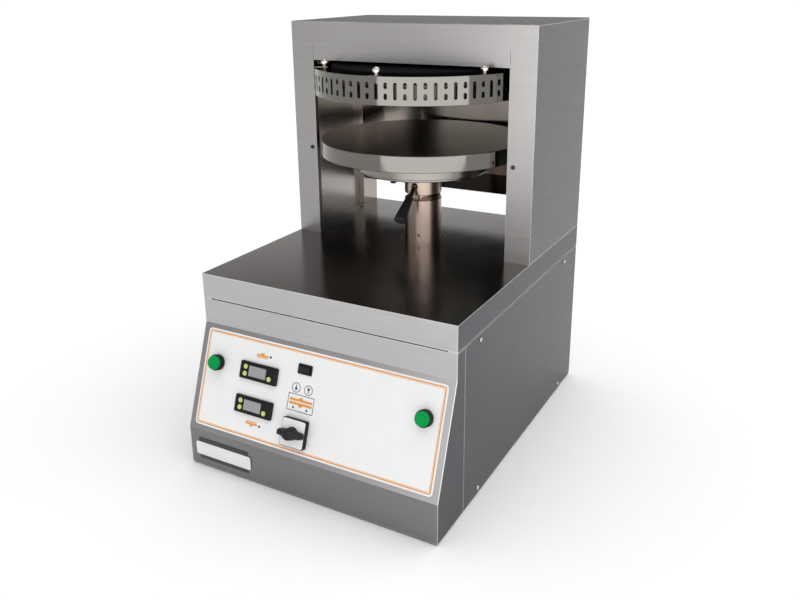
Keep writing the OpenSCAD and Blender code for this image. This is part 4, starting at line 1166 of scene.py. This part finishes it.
class PRESS_OT_buttons(bpy.types.Operator):
    """Push buttons with their barrels"""

    bl_idname = "dough_press.buttons"
    bl_label = "Push buttons"

    def execute(self, context):
        barrels = []
        for side in ("left", "right"):
            node = "start_button_" + side
            place = panel_frame(*panel_place(node), OVERLAY_T)
            barrel = lathe([
                (0, -40), (11, -40), (11, 0), (15.5, 0), (15.5, 10.6), (15.1, 11.6), (14.4, 12), (13.8, 12),
                (13.6, 11.7), (13.6, 2.2), (0, 2.2),
            ], 72)
            barrels.append((moved(barrel, place), "black"))
            cap = lathe([
                (0, 7), (13, 7), (13.2, 7.3), (13.2, 16.4), (12.9, 17.3), (12.2, 17.9), (11.2, 18),
                (10.4, 17.85), (9.6, 17.6), (0, 17.5),
            ], 72)
            fitted(node + "_cap", [(cap, "green")], node, "green_plastic", node, place=place)
        fitted("button_barrels_moulded", barrels, "casing", "black_plastic", "button_barrels")
        return {"FINISHED"}


class PRESS_OT_thermostats(bpy.types.Operator):
    """Thermostats with displays and keys"""

    bl_idname = "dough_press.thermostats"
    bl_label = "Thermostats"

    def execute(self, context):
        bezels, panes = [], []
        # Where two of the keys stand across, from the bezel's middle
        plus_x, set_x = -30.5, 26.4
        for which in ("upper", "lower"):
            spots = {name: panel_place(f"{which}_key_{name}") for name in ("plus", "minus", "set")}
            x = (spots["plus"][0] - plus_x + spots["set"][0] - set_x) / 2
            up = (spots["plus"][1] + spots["minus"][1]) / 2
            place = panel_frame(x, up, OVERLAY_T)
            bezel = piece(f"thermostat_{which}_bezel", [
                (prism(rounded(87, 33.5, 2.5), 0, 5, 0.9), "gloss"),
                (prism(rounded(71, 29, 1), -45, 0.2), "gloss"),
            ], place)
            cuts = [moved(prism(rounded(41, 20.8, 0.8, -2.4), 3.9, 7), place)]
            for name, spot in spots.items():
                node, well = f"{which}_key_{name}", panel_frame(*spot, OVERLAY_T)
                cuts.append(moved(prism(disc(5.05), 1.8, 7), well))
                key = lathe([(0, 3), (4.6, 3), (4.7, 3.2), (4.7, 5.5), (4.3, 6), (3.2, 6.2), (0, 6.2)], 40)
                fitted(node + "_cap", [(key, "key")], node, "key_plastic", node, place=well)
            bezels.append(carved(bezel, *cuts))
            pane = prism(rounded(40.5, 20.3, 0.6, -2.4), 3.9, 4.6, 0.2)
            panes.append((moved(pane, place), "display"))
        seated(bezels[0], "casing", "gloss_black", "thermostats")
        seated(bezels[1], "casing", "gloss_black")
        fitted("thermostat_panes", panes, "casing", "display", "thermostat_displays")
        return {"FINISHED"}


class PRESS_OT_switches(bpy.types.Operator):
    """Rocker and main switch"""

    bl_idname = "dough_press.switches"
    bl_label = "Switches"

    def execute(self, context):
        self.rocker()
        self.main_switch()
        return {"FINISHED"}

    def rocker(self):
        """A dished rocker in its frame."""
        place = panel_frame(*panel_place("rocker_frame"), OVERLAY_T)
        shell = piece("rocker_frame_moulded", [
            (prism(rounded(31, 19, 1.5), 0, 2, 0.6), "gloss"),
            (prism(rounded(30.2, 15, 0.8), -24, 0.2), "black"),
        ], place)
        carved(shell, moved(prism(rounded(27, 12.6, 0.5), -8, 4), place))
        seated(shell, "casing", "black_plastic", "rocker_frame")
        half, wide, foot, tall, dish = 12.3, 5.7, -3, 4.2, 1.4
        rows = []
        for i in range(-6, 7):
            top = tall - dish * (1 - (i / 6) ** 2)
            corners = ((-wide, foot), (wide, foot), (wide, top), (-wide, top))
            rows.append([(half * i / 6, y, z) for y, z in corners])
        shape = skinned(rows)
        softened(shape, creases(shape, 0.8), 0.5, 2)
        pin = moved(prism(disc(1.4, steps=20), -7.1, 7.1), at(0, 0, 0, 90))
        parts = [(shape, "black"), (pin, "black")]
        fitted("rocker_dished", parts, "rocker", "black_plastic", "rocker", place=place)

    def main_switch(self):
        """A square base, a white face and a knob with two wings."""
        place = panel_frame(*panel_place("switch_base"), OVERLAY_T)
        base = [(prism(rounded(53, 53, 4), 0, 10.2, 0.8), "gloss"), (prism(disc(20), -45, 0.2), "black")]
        fitted("switch_base_moulded", base, "casing", "black_plastic", "switch_base", place=place)
        face = [(prism(rounded(50.2, 50.2, 3), 10.1, 11, 0.3), "white")]
        fitted("switch_face_plate", face, "casing", "white_plastic", "switch_face", place=place)
        foot = 11.3
        skirt = lathe([(0, foot), (12.5, foot), (12.5, foot + 3), (11.4, foot + 5), (0, foot + 5)], 64)
        # Places along the wings, with the half width and the height of the blade there
        wing = ((7, 10, 18.6), (13, 6.5, 16), (22, 6, 15), (26, 4.8, 13))
        rows = []
        for x, half, tall in (*[(-x, half, tall) for x, half, tall in wing[::-1]], (0, 12.4, 20), *wing):
            belly, crown = (half * 0.96, foot + tall * 0.6), (half * 0.78, foot + tall)
            right = ((half, foot), belly, crown)
            rows.append([(x, y, z) for y, z in right] + [(x, -y, z) for y, z in right[::-1]])
        blade = skinned(rows)
        softened(blade, creases(blade, 0.5), 0.9, 3)
        spindle = lathe([(0, 0.6), (4, 0.6), (4, foot + 1), (0, foot + 1)], 32)
        parts = [(shape, "black") for shape in (skirt, blade, spindle)]
        fitted("switch_knob_winged", parts, "switch_knob", "black_plastic", "switch_knob", place=place)


class PRESS_OT_badge(bpy.types.Operator):
    """Bare badge on the kick plate"""

    bl_idname = "dough_press.badge"
    bl_label = "Badge"

    def execute(self, context):
        for node, finish, slot, r in (
            ("badge_plate", "dark_plate", "black_plastic", 1.5), ("badge_bar", "white", "white_plastic", 4.0),
        ):
            low, high = span(node)
            place = at(middle(node).x, high.y, middle(node).z, 90)
            shape = prism(rounded(high.x - low.x, high.z - low.z, r), 0, high.y - low.y, 0.35)
            fitted(node + "_bare", [(shape, finish)], "casing", slot, node, place=place)
        return {"FINISHED"}


STEPS = (
    PRESS_OT_stage, PRESS_OT_sheets, PRESS_OT_drive, PRESS_OT_fasteners, PRESS_OT_guard_ring,
    PRESS_OT_plates, PRESS_OT_column, PRESS_OT_prints, PRESS_OT_buttons, PRESS_OT_thermostats,
    PRESS_OT_switches, PRESS_OT_badge,
)


class PRESS_PT_sidebar(bpy.types.Panel):
    """Sizes, colours and steps of the dough press"""

    bl_idname = "PRESS_PT_sidebar"
    bl_label = "Dough press"
    bl_space_type = "VIEW_3D"
    bl_region_type = "UI"
    bl_category = "Dough press"

    def draw(self, context):
        for group in (context.scene.dough_press_sizes, context.scene.dough_press_colours):
            for name in group.bl_rna.properties.keys():
                if name not in ("rna_type", "name"):
                    self.layout.prop(group, name)
        for step in STEPS:
            self.layout.operator(step.bl_idname)


CLASSES = (PressSizes, PressColours, *STEPS, PRESS_PT_sidebar)


def register():
    for cls in CLASSES:
        bpy.utils.register_class(cls)
    bpy.types.Scene.dough_press_sizes = PointerProperty(type=PressSizes)
    bpy.types.Scene.dough_press_colours = PointerProperty(type=PressColours)


def unregister():
    del bpy.types.Scene.dough_press_colours
    del bpy.types.Scene.dough_press_sizes
    for cls in reversed(CLASSES):
        bpy.utils.unregister_class(cls)


def main():
    register()
    make_finishes()
    bpy.ops.dough_press.stage()
    bpy.ops.dough_press.sheets()
    bpy.ops.dough_press.drive()
    bpy.ops.dough_press.fasteners()
    bpy.ops.dough_press.guard_ring()
    bpy.ops.dough_press.plates()
    bpy.ops.dough_press.column()
    bpy.ops.dough_press.prints()
    bpy.ops.dough_press.buttons()
    bpy.ops.dough_press.thermostats()
    bpy.ops.dough_press.switches()
    bpy.ops.dough_press.badge()


if __name__ == "__main__":
    main()
